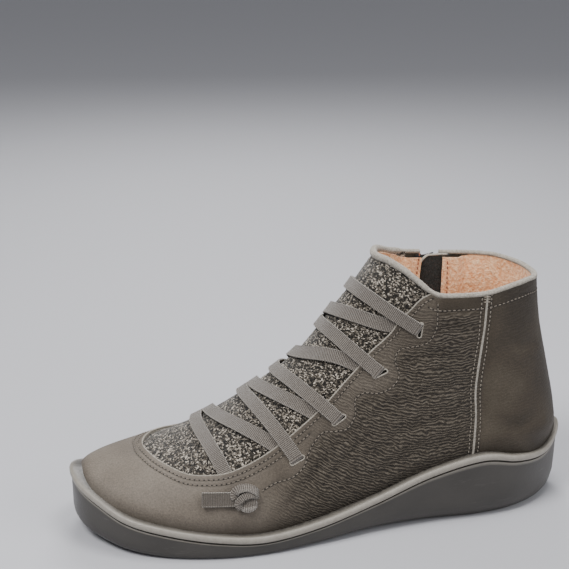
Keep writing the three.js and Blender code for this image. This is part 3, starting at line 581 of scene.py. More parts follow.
# A near-black finish that paints the shade inside needle holes and under the lace slots.
hole_shade = plain_cloth("painted_hole_shade", (0.012, 0.010, 0.008), (0.02, 0.017, 0.014), 900, 0.05)
fleece = plain_cloth("tan_fleece", (0.74, 0.31, 0.13), (1.0, 0.7, 0.43), 560, 1.1, 0.98, 0.35)
black_fleece = plain_cloth("black_fleece", (0.006, 0.006, 0.005), (0.03, 0.029, 0.026), 800, 0.8, 0.98, 0.3)
black_tape = plain_cloth("black_tape", (0.008, 0.008, 0.009), (0.02, 0.02, 0.022), 1700, 0.15)
footbed = plain_cloth("footbed_felt", (0.33, 0.19, 0.11), (0.6, 0.4, 0.26), 600, 0.6, 0.97, 0.3)
teeth_black = Tree("zip_teeth", 0.35, specular=0.5)
teeth_black.color(teeth_black.ramp(teeth_black.noise(900), (0.3, (0.012, 0.012, 0.013)), (0.7, (0.03, 0.03, 0.032))))
metal = Tree("dark_metal", 0.38, metallic=0.9)
worn = metal.noise(600, 3.0, roughness=0.7)
metal.color(metal.ramp(worn, (0.35, (0.05, 0.046, 0.042)), (0.7, (0.17, 0.16, 0.148))))
metal.rough(metal.span(worn, 0.3, 0.7, 0.3, 0.5))
metal.bump((worn, 0.05 * MM))
print("materials", len(bpy.data.materials))

# %% [markdown]
# Meshes come from plain lists of points and faces. One helper makes the object, another bakes its modifiers
# into a clean mesh with sharp edges kept sharp, and a third hands it to the frame.

# %% Mesh helpers


def new_piece(name, points, faces, materials, face_materials=None):
    mesh = bpy.data.meshes.new(name)
    mesh.from_pydata([tuple(map(float, p)) for p in points], [], [tuple(map(int, f)) for f in faces])
    for material in materials:
        mesh.materials.append(material)
    if face_materials is not None:
        mesh.polygons.foreach_set("material_index", np.asarray(face_materials, np.int32))
    mesh.polygons.foreach_set("use_smooth", np.ones(len(mesh.polygons), bool))
    mesh.update()
    piece = bpy.data.objects.new(name, mesh)
    bpy.context.scene.collection.objects.link(piece)
    return piece


def write_attribute(piece, name, values):
    kind = "FLOAT_VECTOR" if np.ndim(values) == 2 else "FLOAT"
    attribute = piece.data.attributes.new(name, kind, "POINT")
    attribute.data.foreach_set("vector" if kind == "FLOAT_VECTOR" else "value", np.ravel(values).astype(np.float32))


def bake(piece, sharp=40):
    """The modifiers become part of the mesh."""
    bpy.context.view_layer.update()
    graph = bpy.context.evaluated_depsgraph_get()
    evaluated = piece.evaluated_get(graph)
    mesh = bpy.data.meshes.new_from_object(evaluated, preserve_all_data_layers=True, depsgraph=graph)
    piece.modifiers.clear()
    piece.data = mesh
    mesh.polygons.foreach_set("use_smooth", np.ones(len(mesh.polygons), bool))
    mesh.set_sharp_from_angle(angle=math.radians(sharp))
    return piece


def finish_piece(piece, slot, *nodes, body="boot"):
    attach(piece, body)
    if nodes:
        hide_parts(*nodes)
    print(piece.name, "triangles", sum(len(p.vertices) - 2 for p in piece.data.polygons))
    return piece


def loft(rows, closed_across=True, closed_along=False, caps=True, start=0):
    """Faces through rows of equally many points."""
    n, m = len(rows[0]), len(rows)
    faces = []
    for r in range(m if closed_along else m - 1):
        for i in range(n if closed_across else n - 1):
            a, b = r * n + i, r * n + (i + 1) % n
            c, d = ((r + 1) % m) * n + (i + 1) % n, ((r + 1) % m) * n + i
            faces.append((start + a, start + b, start + c, start + d))
    if caps and closed_across and not closed_along:
        faces.append(tuple(start + i for i in reversed(range(n))))
        faces.append(tuple(start + (m - 1) * n + i for i in range(n)))
    return faces


def outward(piece):
    mesh = bmesh.new()
    mesh.from_mesh(piece.data)
    bmesh.ops.remove_doubles(mesh, verts=mesh.verts, dist=1e-7)
    bmesh.ops.recalc_face_normals(mesh, faces=mesh.faces)
    mesh.to_mesh(piece.data)
    mesh.free()
    return piece


# %% [markdown]
# The sole is a moulded cup. Its outline and its rim are smooth curves through a table of sections, and at
# each station the same side profile is drawn: the tucked bottom edge, the wall, a groove, the round bead and
# the lip that disappears under the leather. The bead is paler rubber with a painted highlight, and painted
# shade darkens the groove, the foot of the wall, the bead's underside, the lip and the bottom. The bottom
# gets a tread of fine waves between the cross grooves.

# %% Outsole
bead_height, bead_step, groove_height, groove_depth = 3.6 * MM, 0.8 * MM, 1.1 * MM, 0.9 * MM
lip_reach, tread_depth, tread_width = 7 * MM, 1.2 * MM, 3 * MM
outer = SOLE[:, [0, 1, 3, 6, 5]]
inner = SOLE[1:-1][::-1][:, [0, 2, 4, 7, 5]]
rows = np.vstack([outer, inner])
wrapped = np.vstack([rows[-1:], rows, rows[:2]])
per_row = 14
stations = column(wrapped, 1 + np.arange(len(rows) * per_row) / per_row)
edge_line = stations[:, :2] * [sole_length, ball_width]
tangent = unit(np.roll(edge_line, -1, 0) - np.roll(edge_line, 1, 0))
inward = np.stack([-tangent[:, 1], tangent[:, 0]], -1)
if ((edge_line + inward * MM) ** 2).sum() > (edge_line**2).sum():
    inward = -inward
rim, lift, tuck = (stations[:, k] * heel_height for k in (2, 3, 4))
lift = np.maximum(lift, 0)


def side_profile(rim, floor, tuck):
    """Inset and height of each corner from the floor to the lip, then down inside."""
    top = rim - bead_height - groove_height
    wall_at = lambda f: floor + (top - floor) * f
    bead = [(bead_step + (bead_step + 0.2 * MM) * -math.sin(a), rim - bead_height / 2 - bead_height / 2 * math.cos(a))
            for a in np.linspace(0.25, math.pi - 0.25, 9)]
    return [
        (tuck + 1.2 * MM, floor), (tuck + 0.4 * MM, floor + 0.05 * MM), (tuck - 0.2 * MM, floor + 0.45 * MM),
        (0.72 * tuck, wall_at(0.06)), (0.42 * tuck, wall_at(0.16)), (0.22 * tuck + 0.3 * bead_step, wall_at(0.3)),
        (0.1 * tuck + 0.8 * bead_step, wall_at(0.5)), (0.04 * tuck + bead_step, wall_at(0.75)),
        (bead_step, wall_at(0.94)), (bead_step + 0.12 * MM, top),
        (bead_step + 0.55 * groove_depth, top + 0.22 * groove_height),
        (bead_step + groove_depth, top + 0.5 * groove_height),
        (bead_step + 0.75 * groove_depth, top + 0.85 * groove_height),
        *bead,
        (bead_step + 1.2 * MM, rim + 0.02 * MM), (lip_reach * 0.6, rim - 0.1 * MM), (lip_reach, rim - 0.3 * MM),
        (lip_reach + 1.5 * MM, rim - 3 * MM),
    ]


profiles = np.array([side_profile(r, f, k) for r, f, k in zip(rim, lift, tuck)])
levels = profiles.shape[1]
sole_points, bead_pale_and_lit, painted_shade_mask = [], [], []
bottom_rings, bed_rings = 16, 5
center_y = np.interp(edge_line[:, 0], SOLE[::-1, 0] * sole_length, ((SOLE[:, 1] + SOLE[:, 2]) / 2 * ball_width)[::-1])
middle_x = np.clip(edge_line[:, 0], -0.112, 0.108)
middle = np.stack([middle_x, center_y], -1)


def tread_height(x, y, floor):
    """Cross grooves where the solid has them, and fine waves between them."""
    deep = sum(np.clip(1.4 - np.abs(x - place * sole_length) / (tread_width / 2) * 1.0, 0, 1) for place in
               (0.3, 0.25, 0.2, -0.3, -0.35))
    fine = 0.5 + 0.5 * np.sin(2 * math.pi * (x + 2.2 * MM * np.sin(2 * math.pi * y / (16 * MM))) / (5.2 * MM))
    return floor + tread_depth * np.clip(deep, 0, 1) + 0.55 * MM * smoothstep(0.55, 0.8, fine) * (deep < 0.05)


first = edge_line + inward * profiles[:, 0, 0:1]
for k in range(bottom_rings, 0, -1):
    f = k / bottom_rings
    ring = first + (middle - first) * f
    floor = lift + (0 - lift) * smoothstep(0, 0.5, f) * 0.0
    z = tread_height(ring[:, 0], ring[:, 1], floor)
    sole_points.append(np.column_stack([ring, z if f > 0.12 else floor]))
    bead_pale_and_lit.append(np.zeros(len(ring)))
    painted_shade_mask.append(np.ones(len(ring)))
for level in range(levels):
    ring = edge_line + inward * profiles[:, level, 0:1]
    sole_points.append(np.column_stack([ring, profiles[:, level, 1]]))
    # The bead value marks the bead, paler rubber with a painted highlight, and a thin light line on the lip under the
    # groove.
    bead_pale_and_lit.append(np.full(len(ring), 0.75 if level == 9 else (1.0 if level >= 13 else 0.0)))
    # Painted shade for each level of the profile: full in the groove, on the bottom and on the lip, partial at the
    # foot of the wall, under the bead and where it meets the leather.
    shade_amount = {13: 0.55, 14: 0.2, 21: 0.25, 22: 0.7, 3: 0.6, 4: 0.42, 5: 0.25, 6: 0.1}.get(level, 0.0)
    painted_shade_mask.append(np.full(len(ring), 1.0 if 10 <= level <= 12 or level > 22 or level < 3 else shade_amount))
last_ring = edge_line + inward * profiles[:, -1, 0:1]
for k in range(1, bed_rings + 1):
    ring = last_ring + (middle - last_ring) * (0.12 if k == 1 else k / bed_rings)
    sole_points.append(np.column_stack([ring, bed_height_at(ring[:, 0]) - 0.4 * MM]))
    bead_pale_and_lit.append(np.zeros(len(ring)))
    painted_shade_mask.append(np.zeros(len(ring)))
sole = new_piece("sole", np.vstack(sole_points), loft(sole_points, closed_across=True, caps=False), [rubber.material])
write_attribute(sole, "bead", np.concatenate(bead_pale_and_lit))
write_attribute(sole, "painted_shade", np.concatenate(painted_shade_mask))
outward(sole)
sole.data.set_sharp_from_angle(angle=math.radians(50))
finish_piece(sole, "sole_rubber", "outsole")

# %% [markdown]
# The leather is cut as a shoemaker cuts it: one flat outline, here drawn in t and angle, with a hole for each
# lace slot. A constrained triangulation fills the outline with even triangles whose borders follow the cut
# edges exactly, and each point is then laid on the last. A grid of faces with booleans would leave ragged
# edges along the throat.

# %% Leather outline
under_rim = 5.5 * MM
edge_step = 1.3 * MM
slot_shares = [(7.36, 0.44), (9.0, 0.403), (10.3, 0.358), (12.0, 0.294), (14.7, 0.279)]
slot_length, slot_width = 8 * MM, 2.2 * MM


def until_collar(line):
    """The part of a line that lies under the collar."""
    p = last_point(line[:, 0], line[:, 1])
    over = np.nonzero(p[:, 2] > collar_height_at(p[:, 0], p[:, 1]))[0]
    return line[:over[0]] if len(over) else line


def zip_edge(side):
    """side 1 is the rear edge, -1 the front one."""
    share = np.linspace(0, 1, len(zip_line))
    half = zip_half_bottom + (zip_half_top - zip_half_bottom) * share
    return until_collar(shift(zip_line, side * half))


def collar_part(first, final, step=0.02):
    angles = np.linspace(first, final, max(2, int(abs(final - first) / step)))
    return np.stack([collar_t(angles), angles], -1)


ts = np.linspace(0.45, 14.6, 700)
outer_bottom = np.stack([ts, bottom_angle(ts, 1, under_rim)], -1)
inner_bottom = np.stack([ts, -bottom_angle(ts, -1, under_rim)], -1)
start = np.nonzero(outer_bottom[:, 1] > 0.02)[0][0]
outer_bottom, inner_bottom = outer_bottom[start:], inner_bottom[start:]
closed_at = np.nonzero(outer_bottom[:, 1] > math.pi - 1e-3)[0][0]
outer_bottom = outer_bottom[:closed_at]
rear_edge, front_edge = zip_edge(1), zip_edge(-1)


def cut_under(line, bottom):
    """The part of a line that lies above the bottom line."""
    reach = np.interp(line[:, 0], bottom[:, 0], -bottom[:, 1])
    return line[-line[:, 1] < reach]


rear_edge, front_edge = cut_under(rear_edge, inner_bottom), cut_under(front_edge, inner_bottom)
if abs(rear_edge[0, 1]) < abs(front_edge[0, 1]):
    rear_edge, front_edge = front_edge, rear_edge
turn = np.array([0, 2 * math.pi])  # a full turn of the angle
inner_rear = inner_bottom[(inner_bottom[:, 0] > rear_edge[0, 0]) & (inner_bottom[:, 1] > -math.pi + 1e-3)][::-1] + turn
inner_front = inner_bottom[inner_bottom[:, 0] < front_edge[0, 0]][::-1]
throat_outer, throat_inner = until_collar(throat_line(1)), until_collar(throat_line(-1))
outline = np.vstack([
    resample(outer_bottom, edge_step),
    resample(inner_rear, edge_step),
    resample(rear_edge + turn, edge_step),
    resample(collar_part(rear_edge[-1, 1] + turn[1], throat_outer[-1, 1]), edge_step)[1:-1],
    resample(throat_outer[::-1], edge_step),
    resample(throat_inner, edge_step)[1:],
    resample(collar_part(throat_inner[-1, 1], front_edge[-1, 1]), edge_step)[1:-1],
    resample(front_edge[::-1], edge_step),
    resample(inner_front, edge_step),
])
print("outline places", len(outline))


def slot_outline(t, share, knotted):
    """A slot's rounded outline, with its length towards the collar."""
    angle = float(angle_at(t, share))
    place = np.array([[t - 0.02, float(angle_at(t - 0.02, share))], [t, angle], [t + 0.02, float(angle_at(t + 0.02, share))]])
    _, along, across, _ = directions(place)
    by_t, by_angle = partials(place)
    basis = np.stack([by_t[1], by_angle[1]], -1)
    length, width = (4 * MM, 4 * MM) if knotted else (slot_length, slot_width)
    loop = []
    for turn_angle in np.linspace(0, 2 * math.pi, 20, endpoint=False):
        c, s = math.cos(turn_angle), math.sin(turn_angle)
        a = (length - width) / 2 * np.sign(c) + width / 2 * c
        wanted = along[1] * a + across[1] * width / 2 * s
        loop.append(place[1] + np.linalg.lstsq(basis, wanted, rcond=None)[0])
    return np.array(loop)


slots = [slot_outline(t, side * share, (side > 0 and k == 0) or (side < 0 and k == 4))
         for side in (1, -1) for k, (t, share) in enumerate(slot_shares)]

# %% [markdown]
# Where stitches run, and where the leather is folded by wear, the surface sinks a little. The stitch lines
# are settled now so that the leather can follow them. The scalloped line beside the lace is read from the
# picture point by point.

# %% Stitch lines
scallop_outer = [
    (16.12, .332), (15.84, .334), (15.14, .334), (14.51, .316), (13.83, .274), (13.30, .255), (12.81, .274),
    (12.52, .321), (12.05, .352), (11.57, .354), (11.18, .329), (10.88, .334), (10.72, .376), (10.43, .403),
    (10.14, .387), (9.81, .363), (9.52, .379), (9.32, .403), (9.11, .439), (8.75, .452), (8.3, .44), (7.95, .446),
]
scallop_inner = [
    (16.12, .330), (15.84, .334), (15.14, .334), (14.51, .322), (13.83, .29), (13.30, .268), (12.81, .28),
    (12.52, .318), (12.05, .345), (11.57, .347), (11.18, .329), (10.88, .334), (10.72, .37), (10.43, .4),
    (10.14, .387), (9.81, .363), (9.52, .379), (9.32, .41), (9.11, .44), (8.75, .455), (8.2, .43), (7.8, .39),
    (7.3, .385),
]


def by_share(rows, side):
    rows = smooth_line(rows, 8)
    return np.stack([rows[:, 0], angle_at(rows[:, 0], side * rows[:, 1])], -1)


def inset(line, distance):
    return resample(shift(resample(line, 2 * MM), distance), 1 * MM)


collar_round = collar_part(rear_edge[-1, 1] + turn[1] - 0.02, throat_outer[-1, 1] + 0.05)
collar_front = collar_part(throat_inner[-1, 1] - 0.05, front_edge[-1, 1] + 0.02)
rear_seam = on_side([(-71.3, 31), (-71.8, 45), (-72.0, 57), (-71.4, 72), (-72.8, 89), (-74.7, 106), (-75.4, 122)], 1)
side_seam = on_side([(11.6, 58.3), (7.9, 54.6), (-5, 47.5), (-24, 40.4), (-38, 35.5), (-45.4, 33.5)], -1)
stitch_lines = {
    "scallop_outer": by_share(scallop_outer, 1),
    "scallop_inner": by_share(scallop_inner, -1),
    "throat_outer": inset(throat_outer[6:], -2.4 * MM),
    "throat_inner": inset(throat_inner[6:], 2.4 * MM),
    "toe_second": inset(np.vstack([throat_inner[110:12:-1], throat_outer[12:110]]), -5.2 * MM),
    "collar": inset(collar_round, 6.5 * MM),
    "collar_front": inset(collar_front, 6.5 * MM),
    "seam_front": inset(rear_seam, 2.5 * MM),
    "seam_rear": inset(rear_seam, -2.5 * MM),
    "zip_rear": inset(rear_edge, 2.2 * MM),
    "zip_front": inset(front_edge, -2.2 * MM),
    "side_upper": inset(side_seam, 2.0 * MM),
    "side_lower": inset(side_seam, -2.0 * MM),
}
for name, line in stitch_lines.items():
    print(name, "length mm", (line_length(skin(line))[-1] * 1000).round(1))

# %% Creases
# Soft folds as seen from the side: points x, z in millimetres, depth and width
creases_outer = [
    ([(-66, 60), (-50, 57), (-34, 53), (-20, 46), (-8, 37)], 0.7, 2.6),
    ([(-68, 75), (-52, 73), (-38, 69), (-24, 64), (-14, 56)], 0.6, 2.4),
    ([(-64, 90), (-50, 91), (-38, 88), (-30, 84)], 0.5, 2.2),
    ([(-67, 104), (-58, 106), (-50, 103), (-44, 97)], 0.5, 2.2),
    ([(-60, 46), (-46, 43), (-30, 37), (-18, 29)], 0.6, 2.6),
    ([(-30, 58), (-16, 52), (-4, 43), (6, 33)], 0.7, 2.6),
    ([(-12, 60), (0, 50), (10, 40), (18, 28)], 0.6, 2.4),
    ([(4, 46), (14, 38), (24, 27), (30, 20)], 0.5, 2.2),
    ([(-70, 118), (-60, 115), (-52, 116)], 0.4, 2.0),
    ([(-84, 52), (-96, 49), (-108, 51)], 0.5, 3.2),
    ([(-86, 96), (-98, 92), (-108, 94)], 0.4, 3.0),
    ([(24, 40), (34, 33), (42, 24)], 0.35, 2.2),
]
creases_inner = [
    ([(-52, 60), (-38, 62), (-22, 56), (-10, 48)], 0.5, 2.6),
    ([(-50, 80), (-38, 80), (-26, 74)], 0.5, 2.4),
    ([(-52, 100), (-46, 98), (-40, 92)], 0.4, 2.2),
    ([(-10, 34), (6, 30), (20, 24)], 0.5, 2.8),
    ([(-74, 60), (-88, 56), (-104, 60)], 0.6, 3.2),
    ([(-74, 84), (-88, 78), (-104, 80)], 0.5, 3.0),
    ([(-76, 108), (-90, 102), (-104, 104)], 0.4, 3.0),
]


def tree_of(points):
    tree = kdtree.KDTree(len(points))
    for k, p in enumerate(points):
        tree.insert(p, k)
    tree.balance()
    return tree


def distance_to(points, tree):
    return np.array([tree.find(p)[2] for p in points])


def crease_depth(points):
    depth = np.zeros(len(points))
    for side, creases in ((1, creases_outer), (-1, creases_inner)):
        mine = np.nonzero(points[:, 1] * side > 0)[0]
        for path, deep, width in creases:
            line = skin(on_side(path, side, 16))
            line = line + np.sin(np.arange(len(line)) * 0.55 + deep * 40)[:, None] * np.array([0, 0, 0.5 * MM])
            distance = distance_to(points[mine], tree_of(line))
            ends = smoothstep(0, 8 * MM, np.linalg.norm(points[mine] - line[0], axis=1)) * smoothstep(
                0, 8 * MM, np.linalg.norm(points[mine] - line[-1], axis=1))
            w = distance / (width * MM)
            depth[mine] += 1.3 * deep * MM * ends * (np.exp(-(w**2)) - 0.45 * np.exp(-((w - 1.9) ** 2)))
    return depth


# %% Leather upper
domain_scale = np.array([13.5, 36.0])


def inside(points, loop):
    """Whether each point lies in a closed loop."""
    x, y = points[:, 0][:, None], points[:, 1][:, None]
    x0, y0 = loop[:, 0], loop[:, 1]
    x1, y1 = np.roll(x0, -1), np.roll(y0, -1)
    hits = np.zeros(len(points), int)
    for k in range(0, len(points), 2000):
        part = slice(k, k + 2000)
        crosses = (y0 > y[part]) != (y1 > y[part])
        with np.errstate(divide="ignore", invalid="ignore"):
            at = x0 + (y[part] - y0) * (x1 - x0) / (y1 - y0)
        hits[part] = (crosses & (x[part] < at)).sum(1)
    return hits % 2 == 1


def fill(outline, holes, spacing, lines=()):
    """Even triangles inside an outline on the last. Gives places and faces."""
    loops = [outline * domain_scale] + [hole * domain_scale for hole in holes]
    border = np.vstack(loops)
    low, high = border.min(0), border.max(0)
    rows_y = np.arange(low[1], high[1], spacing * 0.866)
    lattice = np.vstack([
        np.column_stack([np.arange(low[0] + (k % 2) * spacing / 2, high[0], spacing),
                         np.full(len(np.arange(low[0] + (k % 2) * spacing / 2, high[0], spacing)), y)])
        for k, y in enumerate(rows_y)
    ])
    extra = np.vstack([line * domain_scale for line in lines]) if len(lines) else np.zeros((0, 2))
    keep = inside(lattice, loops[0])
    for hole in loops[1:]:
        keep &= ~inside(lattice, hole)
    lattice = lattice[keep]
    near = tree_of([(*p, 0) for p in np.vstack([border, extra])])
    lattice = lattice[np.array([near.find((*p, 0))[2] for p in lattice]) > spacing * 0.55]
    if len(extra):
        extra = extra[inside(extra, loops[0])]
        near_border = tree_of([(*p, 0) for p in border])
        extra = extra[np.array([near_border.find((*p, 0))[2] for p in extra]) > spacing * 0.4]
    points = np.vstack([border, extra, lattice])
    edges, at = [], 0
    for loop in loops:
        edges += [(at + k, at + (k + 1) % len(loop)) for k in range(len(loop))]
        at += len(loop)
    found = geometry.delaunay_2d_cdt([Vector(p) for p in points], edges, [], 0, 1e-4)
    points = np.array([tuple(p) for p in found[0]])
    faces = np.array([tuple(f) for f in found[2]])
    middles = points[faces].mean(1)
    keep = inside(middles, loops[0])
    for hole in loops[1:]:
        keep &= ~inside(middles, hole)
    return points / domain_scale, faces[keep]


helper_lines = [resample(shift(resample(line, 1.5 * MM), d), 1.5 * MM) for line in stitch_lines.values()
                for d in (-1.2 * MM, 0, 1.2 * MM)]
for line in helper_lines:
    rear = (line[:, 1] < 0) & (last_point(line[:, 0], line[:, 1])[:, 0] < -0.063)
    line[rear, 1] += 2 * math.pi
places, faces = fill(outline, slots, 1.45, helper_lines)
points = skin(places)
scallop_t = np.array([row[0] for row in scallop_outer])[::-1]
scallop_angle = {side: angle_at(scallop_t, side * np.array([row[1] for row in scallop_outer])[::-1]) for side in (1, -1)}


def past_scallop_at(places, y, low, high):
    """0 beside the lace and 1 beyond the scalloped stitch line, with a soft step in radians."""
    folded = np.abs((places[:, 1] + math.pi) % (2 * math.pi) - math.pi)
    limit = np.where(y > 0, *(np.abs(np.interp(places[:, 0], scallop_t, scallop_angle[side])) for side in (1, -1)))
    return smoothstep(low, high, folded - limit)


stitch_tree = tree_of(np.vstack([skin(line) for line in stitch_lines.values()]))
stitch_distance = distance_to(points, stitch_tree)
sink = crease_depth(points) + 0.28 * MM * np.exp(-((stitch_distance / (0.9 * MM)) ** 2))
overlap = past_scallop_at(places, points[:, 1], 0.012, 0.04) * past_scallop_at(places, points[:, 1], 0.4, 0.12)
overlap *= smoothstep(0.036, 0.022, points[:, 0]) * smoothstep(7, 11, places[:, 0])
overlap *= smoothstep(4, 10, (collar_height_at(points[:, 0], points[:, 1]) - points[:, 2]) / MM)
sink = sink + 0.42 * MM * overlap
edge_tree = tree_of(np.column_stack([edge_line, 0 * rim]))


def tuck_in(points, inset):
    """Points that would stand out over the bead move inwards, by less and less above it."""
    nearest = np.array([edge_tree.find((px, py, 0))[1] for px, py in points[:, :2]])
    have = ((points[:, :2] - edge_line[nearest]) * inward[nearest]).sum(-1)
    move = np.maximum(0, inset - have) * smoothstep(16 * MM, 0.5 * MM, points[:, 2] - rim[nearest])
    print("tucked in behind the bead by up to", round(move.max() / MM, 2), "mm")
    moved = points.copy()
    moved[:, :2] += inward[nearest] * move[:, None]
    return moved


points = tuck_in(skin(places, -sink), bead_step + 1.3 * MM)
upper = new_piece("leather_upper", points, faces, [leather.material, cut_edge])

x, y, z = points.T
past_scallop = past_scallop_at(places, y, -0.03, 0.05)
under_collar = smoothstep(1, 9, (collar_height_at(x, y) - z) / MM - 3)
wrinkled = past_scallop * smoothstep(0.048, 0.012, x) * smoothstep(-0.077, -0.068, x) * under_collar
wrinkled *= np.where(y > 0, 1.0, 0.34)
wrinkled = np.maximum(wrinkled, 0.14 * smoothstep(-0.068, -0.09, x))
wrinkled = np.maximum(wrinkled, np.where(y > 0, 0.58, 0.25) * smoothstep(0.03, -0.005, x) * smoothstep(-0.075, -0.068, x) * under_collar)
stops = np.linspace(-0.14, 0.14, 281)
slopes = np.interp(stops, [-0.07, -0.055, -0.04, -0.02, 0, 0.03], [-0.16, -0.05, 0.1, 0.38, 0.56, 0.64])
lie = z - np.interp(x, stops, np.cumsum(slopes) * (stops[1] - stops[0]))
write_attribute(upper, "run", np.column_stack([x, lie, y * 0]))
write_attribute(upper, "wrinkled", wrinkled)
# Paler leather at the toe and beside the lace, with painted light added where these parts face up.
beside_lace = (1 - past_scallop) * smoothstep(0.09, 0.0, np.abs(x)) * 0.55
toe_pale_and_lit = smoothstep(0.012, 0.062, x)
write_attribute(upper, "pale_and_lit", np.clip(np.maximum(beside_lace, toe_pale_and_lit), 0, 1))
# Painted shade: darker near the sole's rim and along the sunken stitch lines.
rim_near = smoothstep(9 * MM, 0.5 * MM, z - rim_height_at(x, y))
painted_edge_shade = 0.45 * rim_near + 0.5 * np.exp(-((stitch_distance / (0.8 * MM)) ** 2))
write_attribute(upper, "shade", np.clip(painted_edge_shade, 0, 1))
seam = upper.data
if Vector(seam.polygons[len(seam.polygons) // 2].normal).dot(
        Vector(last_normal(*places[faces[len(faces) // 2][0]]))) < 0:
    seam.flip_normals()
weld = upper.modifiers.new("weld", "WELD")
weld.merge_threshold = 0.05 * MM
thick = upper.modifiers.new("thickness", "SOLIDIFY")
thick.thickness, thick.offset, thick.use_even_offset = wall, -1, True
thick.material_offset_rim = 1
bake(upper, 45)
finish_piece(upper, "leather", "upper")

# %% [markdown]
# The textile panel lies under the lace and closes the front of the shaft. It is a plain grid between two
# lines, so its weave runs with the foot. The surface is roughened in the mesh too, because felt has no
# smooth outline.

# %% Textile panel
panel_drop, panel_thickness = 1.8 * MM, 1.3 * MM
columns, panel_rows = 70, 150
fan = np.linspace(-1, 1, columns)
margin = 6 * MM
grid = np.zeros((panel_rows, columns, 2))
throat_rows = smooth_line(THROAT, 10)
for j, f in enumerate(fan):
    side, key = (1, 1) if f >= 0 else (-1, 2)
    top_t = 17.0
    for _ in range(4):
        share = np.interp(top_t, throat_rows[:, 0], throat_rows[:, key]) + 0.05
        top_t = float(collar_t(angle_at(top_t, f * share), 1.3 * MM))
    t = np.linspace(4.35, top_t, panel_rows)
    share = np.interp(t, throat_rows[:, 0], throat_rows[:, key]) + 0.05 + 0.02 * (t < 7)
    grid[:, j, 0], grid[:, j, 1] = t, angle_at(t, f * share)
flat_grid = grid.reshape(-1, 2)
base = skin(flat_grid)
rough = np.sin(base @ np.array([3100.0, 1700, 2300])) * np.sin(base @ np.array([-1900.0, 2900, 1300]))
panel_points = skin(flat_grid, -panel_drop + 0.12 * MM * rough)
panel = new_piece("textile_panel", panel_points, loft(grid, closed_across=False, caps=False), [felt.material])
if panel.data.polygons[3000].normal.z < 0:
    panel.data.flip_normals()
thick = panel.modifiers.new("thickness", "SOLIDIFY")
thick.thickness, thick.offset = panel_thickness, -1
bake(panel, 60)
finish_piece(panel, "textile", "vamp_panel")

# %% [markdown]
# The lace is one flat elastic band. From the knot by the toe it goes up in a zigzag: across to the other
# side and in under the edge of the leather, then out of the next slot and back. Each visible bar is a thin
# band swept over the last, with a UV map that runs along it for the ribs. The bars that end in a slot turn
# down into it, and the others dive under the edge.

# %% Lace
lace_width, lace_thickness = 7 * MM, 1.25 * MM
# outer t and slot, t on the ridge, inner t and slot
BARS = [
    (7.05, None, 6.6, 7.1, None), (8.62, None, 7.15, 7.36, 0), (9.0, 1, 8.15, 8.7, None),
    (9.85, None, 8.55, 9.0, 1), (10.3, 2, 9.25, 10.05, None), (11.6, None, 10.0, 10.3, 2),
    (12.0, 3, 11.2, 11.7, None), (14.2, None, 12.2, 12.0, 3), (14.7, 4, 14.4, 14.2, None),
]


def band_section(width, thickness):
    """Across and height of a flat band with round, slightly thicker edges."""
    half, r = width / 2, thickness / 2
    edge = [(half - r * 0.8 + r * 0.8 * math.cos(a), r + r * math.sin(a)) for a in np.linspace(-math.pi / 2, math.pi / 2, 5)]
    top = [(half * f, thickness * 0.93) for f in (0.72, 0.3, -0.3, -0.72)]
    other = [(-x, z) for x, z in reversed(edge)]
    bottom = [(-half * f, thickness * 0.04) for f in (0.6, -0.6)]
    return np.array(edge + top + other + bottom)


def band_mesh(points, along, across, normal, width=lace_width, thickness=lace_thickness):
    """Rings of a band along a line, and the UV of each ring's corners."""
    section = band_section(width, thickness)
    rings = points[:, None] + across[:, None] * section[None, :, 0:1] + normal[:, None] * section[None, :, 1:2]
    run = line_length(points)
    uv = np.stack([np.broadcast_to(run[:, None], rings.shape[:2]),
                   np.broadcast_to(section[:, 0] / width + 0.5, rings.shape[:2])], -1)
    return rings, uv


def band_piece(name, parts, material, darker_by=()):
    """One piece from several bands, with its UV map. The last argument lists how much darker each band is coloured."""
    points, faces, uvs = [], [], []
    for rings, uv in parts:
        faces += loft(rings, start=sum(len(p) for p in points))
        points.append(rings.reshape(-1, 3))
        uvs.append(uv.reshape(-1, 2))
    piece = new_piece(name, np.vstack(points), faces, [material])
    if darker_by:
        write_attribute(piece, "back", np.concatenate([np.full(len(uv), back) for uv, back in zip(uvs, darker_by)]))
    coordinates = np.vstack(uvs)
    layer = piece.data.uv_layers.new(name="band")
    corner = np.zeros(len(piece.data.loops), np.int32)
    piece.data.loops.foreach_get("vertex_index", corner)
    layer.data.foreach_set("uv", coordinates[corner].ravel().astype(np.float32))
    mesh = bmesh.new()
    mesh.from_mesh(piece.data)
    bmesh.ops.recalc_face_normals(mesh, faces=mesh.faces)
    mesh.to_mesh(piece.data)
    mesh.free()
    piece.data.set_sharp_from_angle(angle=math.radians(50))
    return piece


def throat_share(t, side):
    return float(np.interp(t, throat_rows[:, 0], throat_rows[:, 1 if side > 0 else 2]))


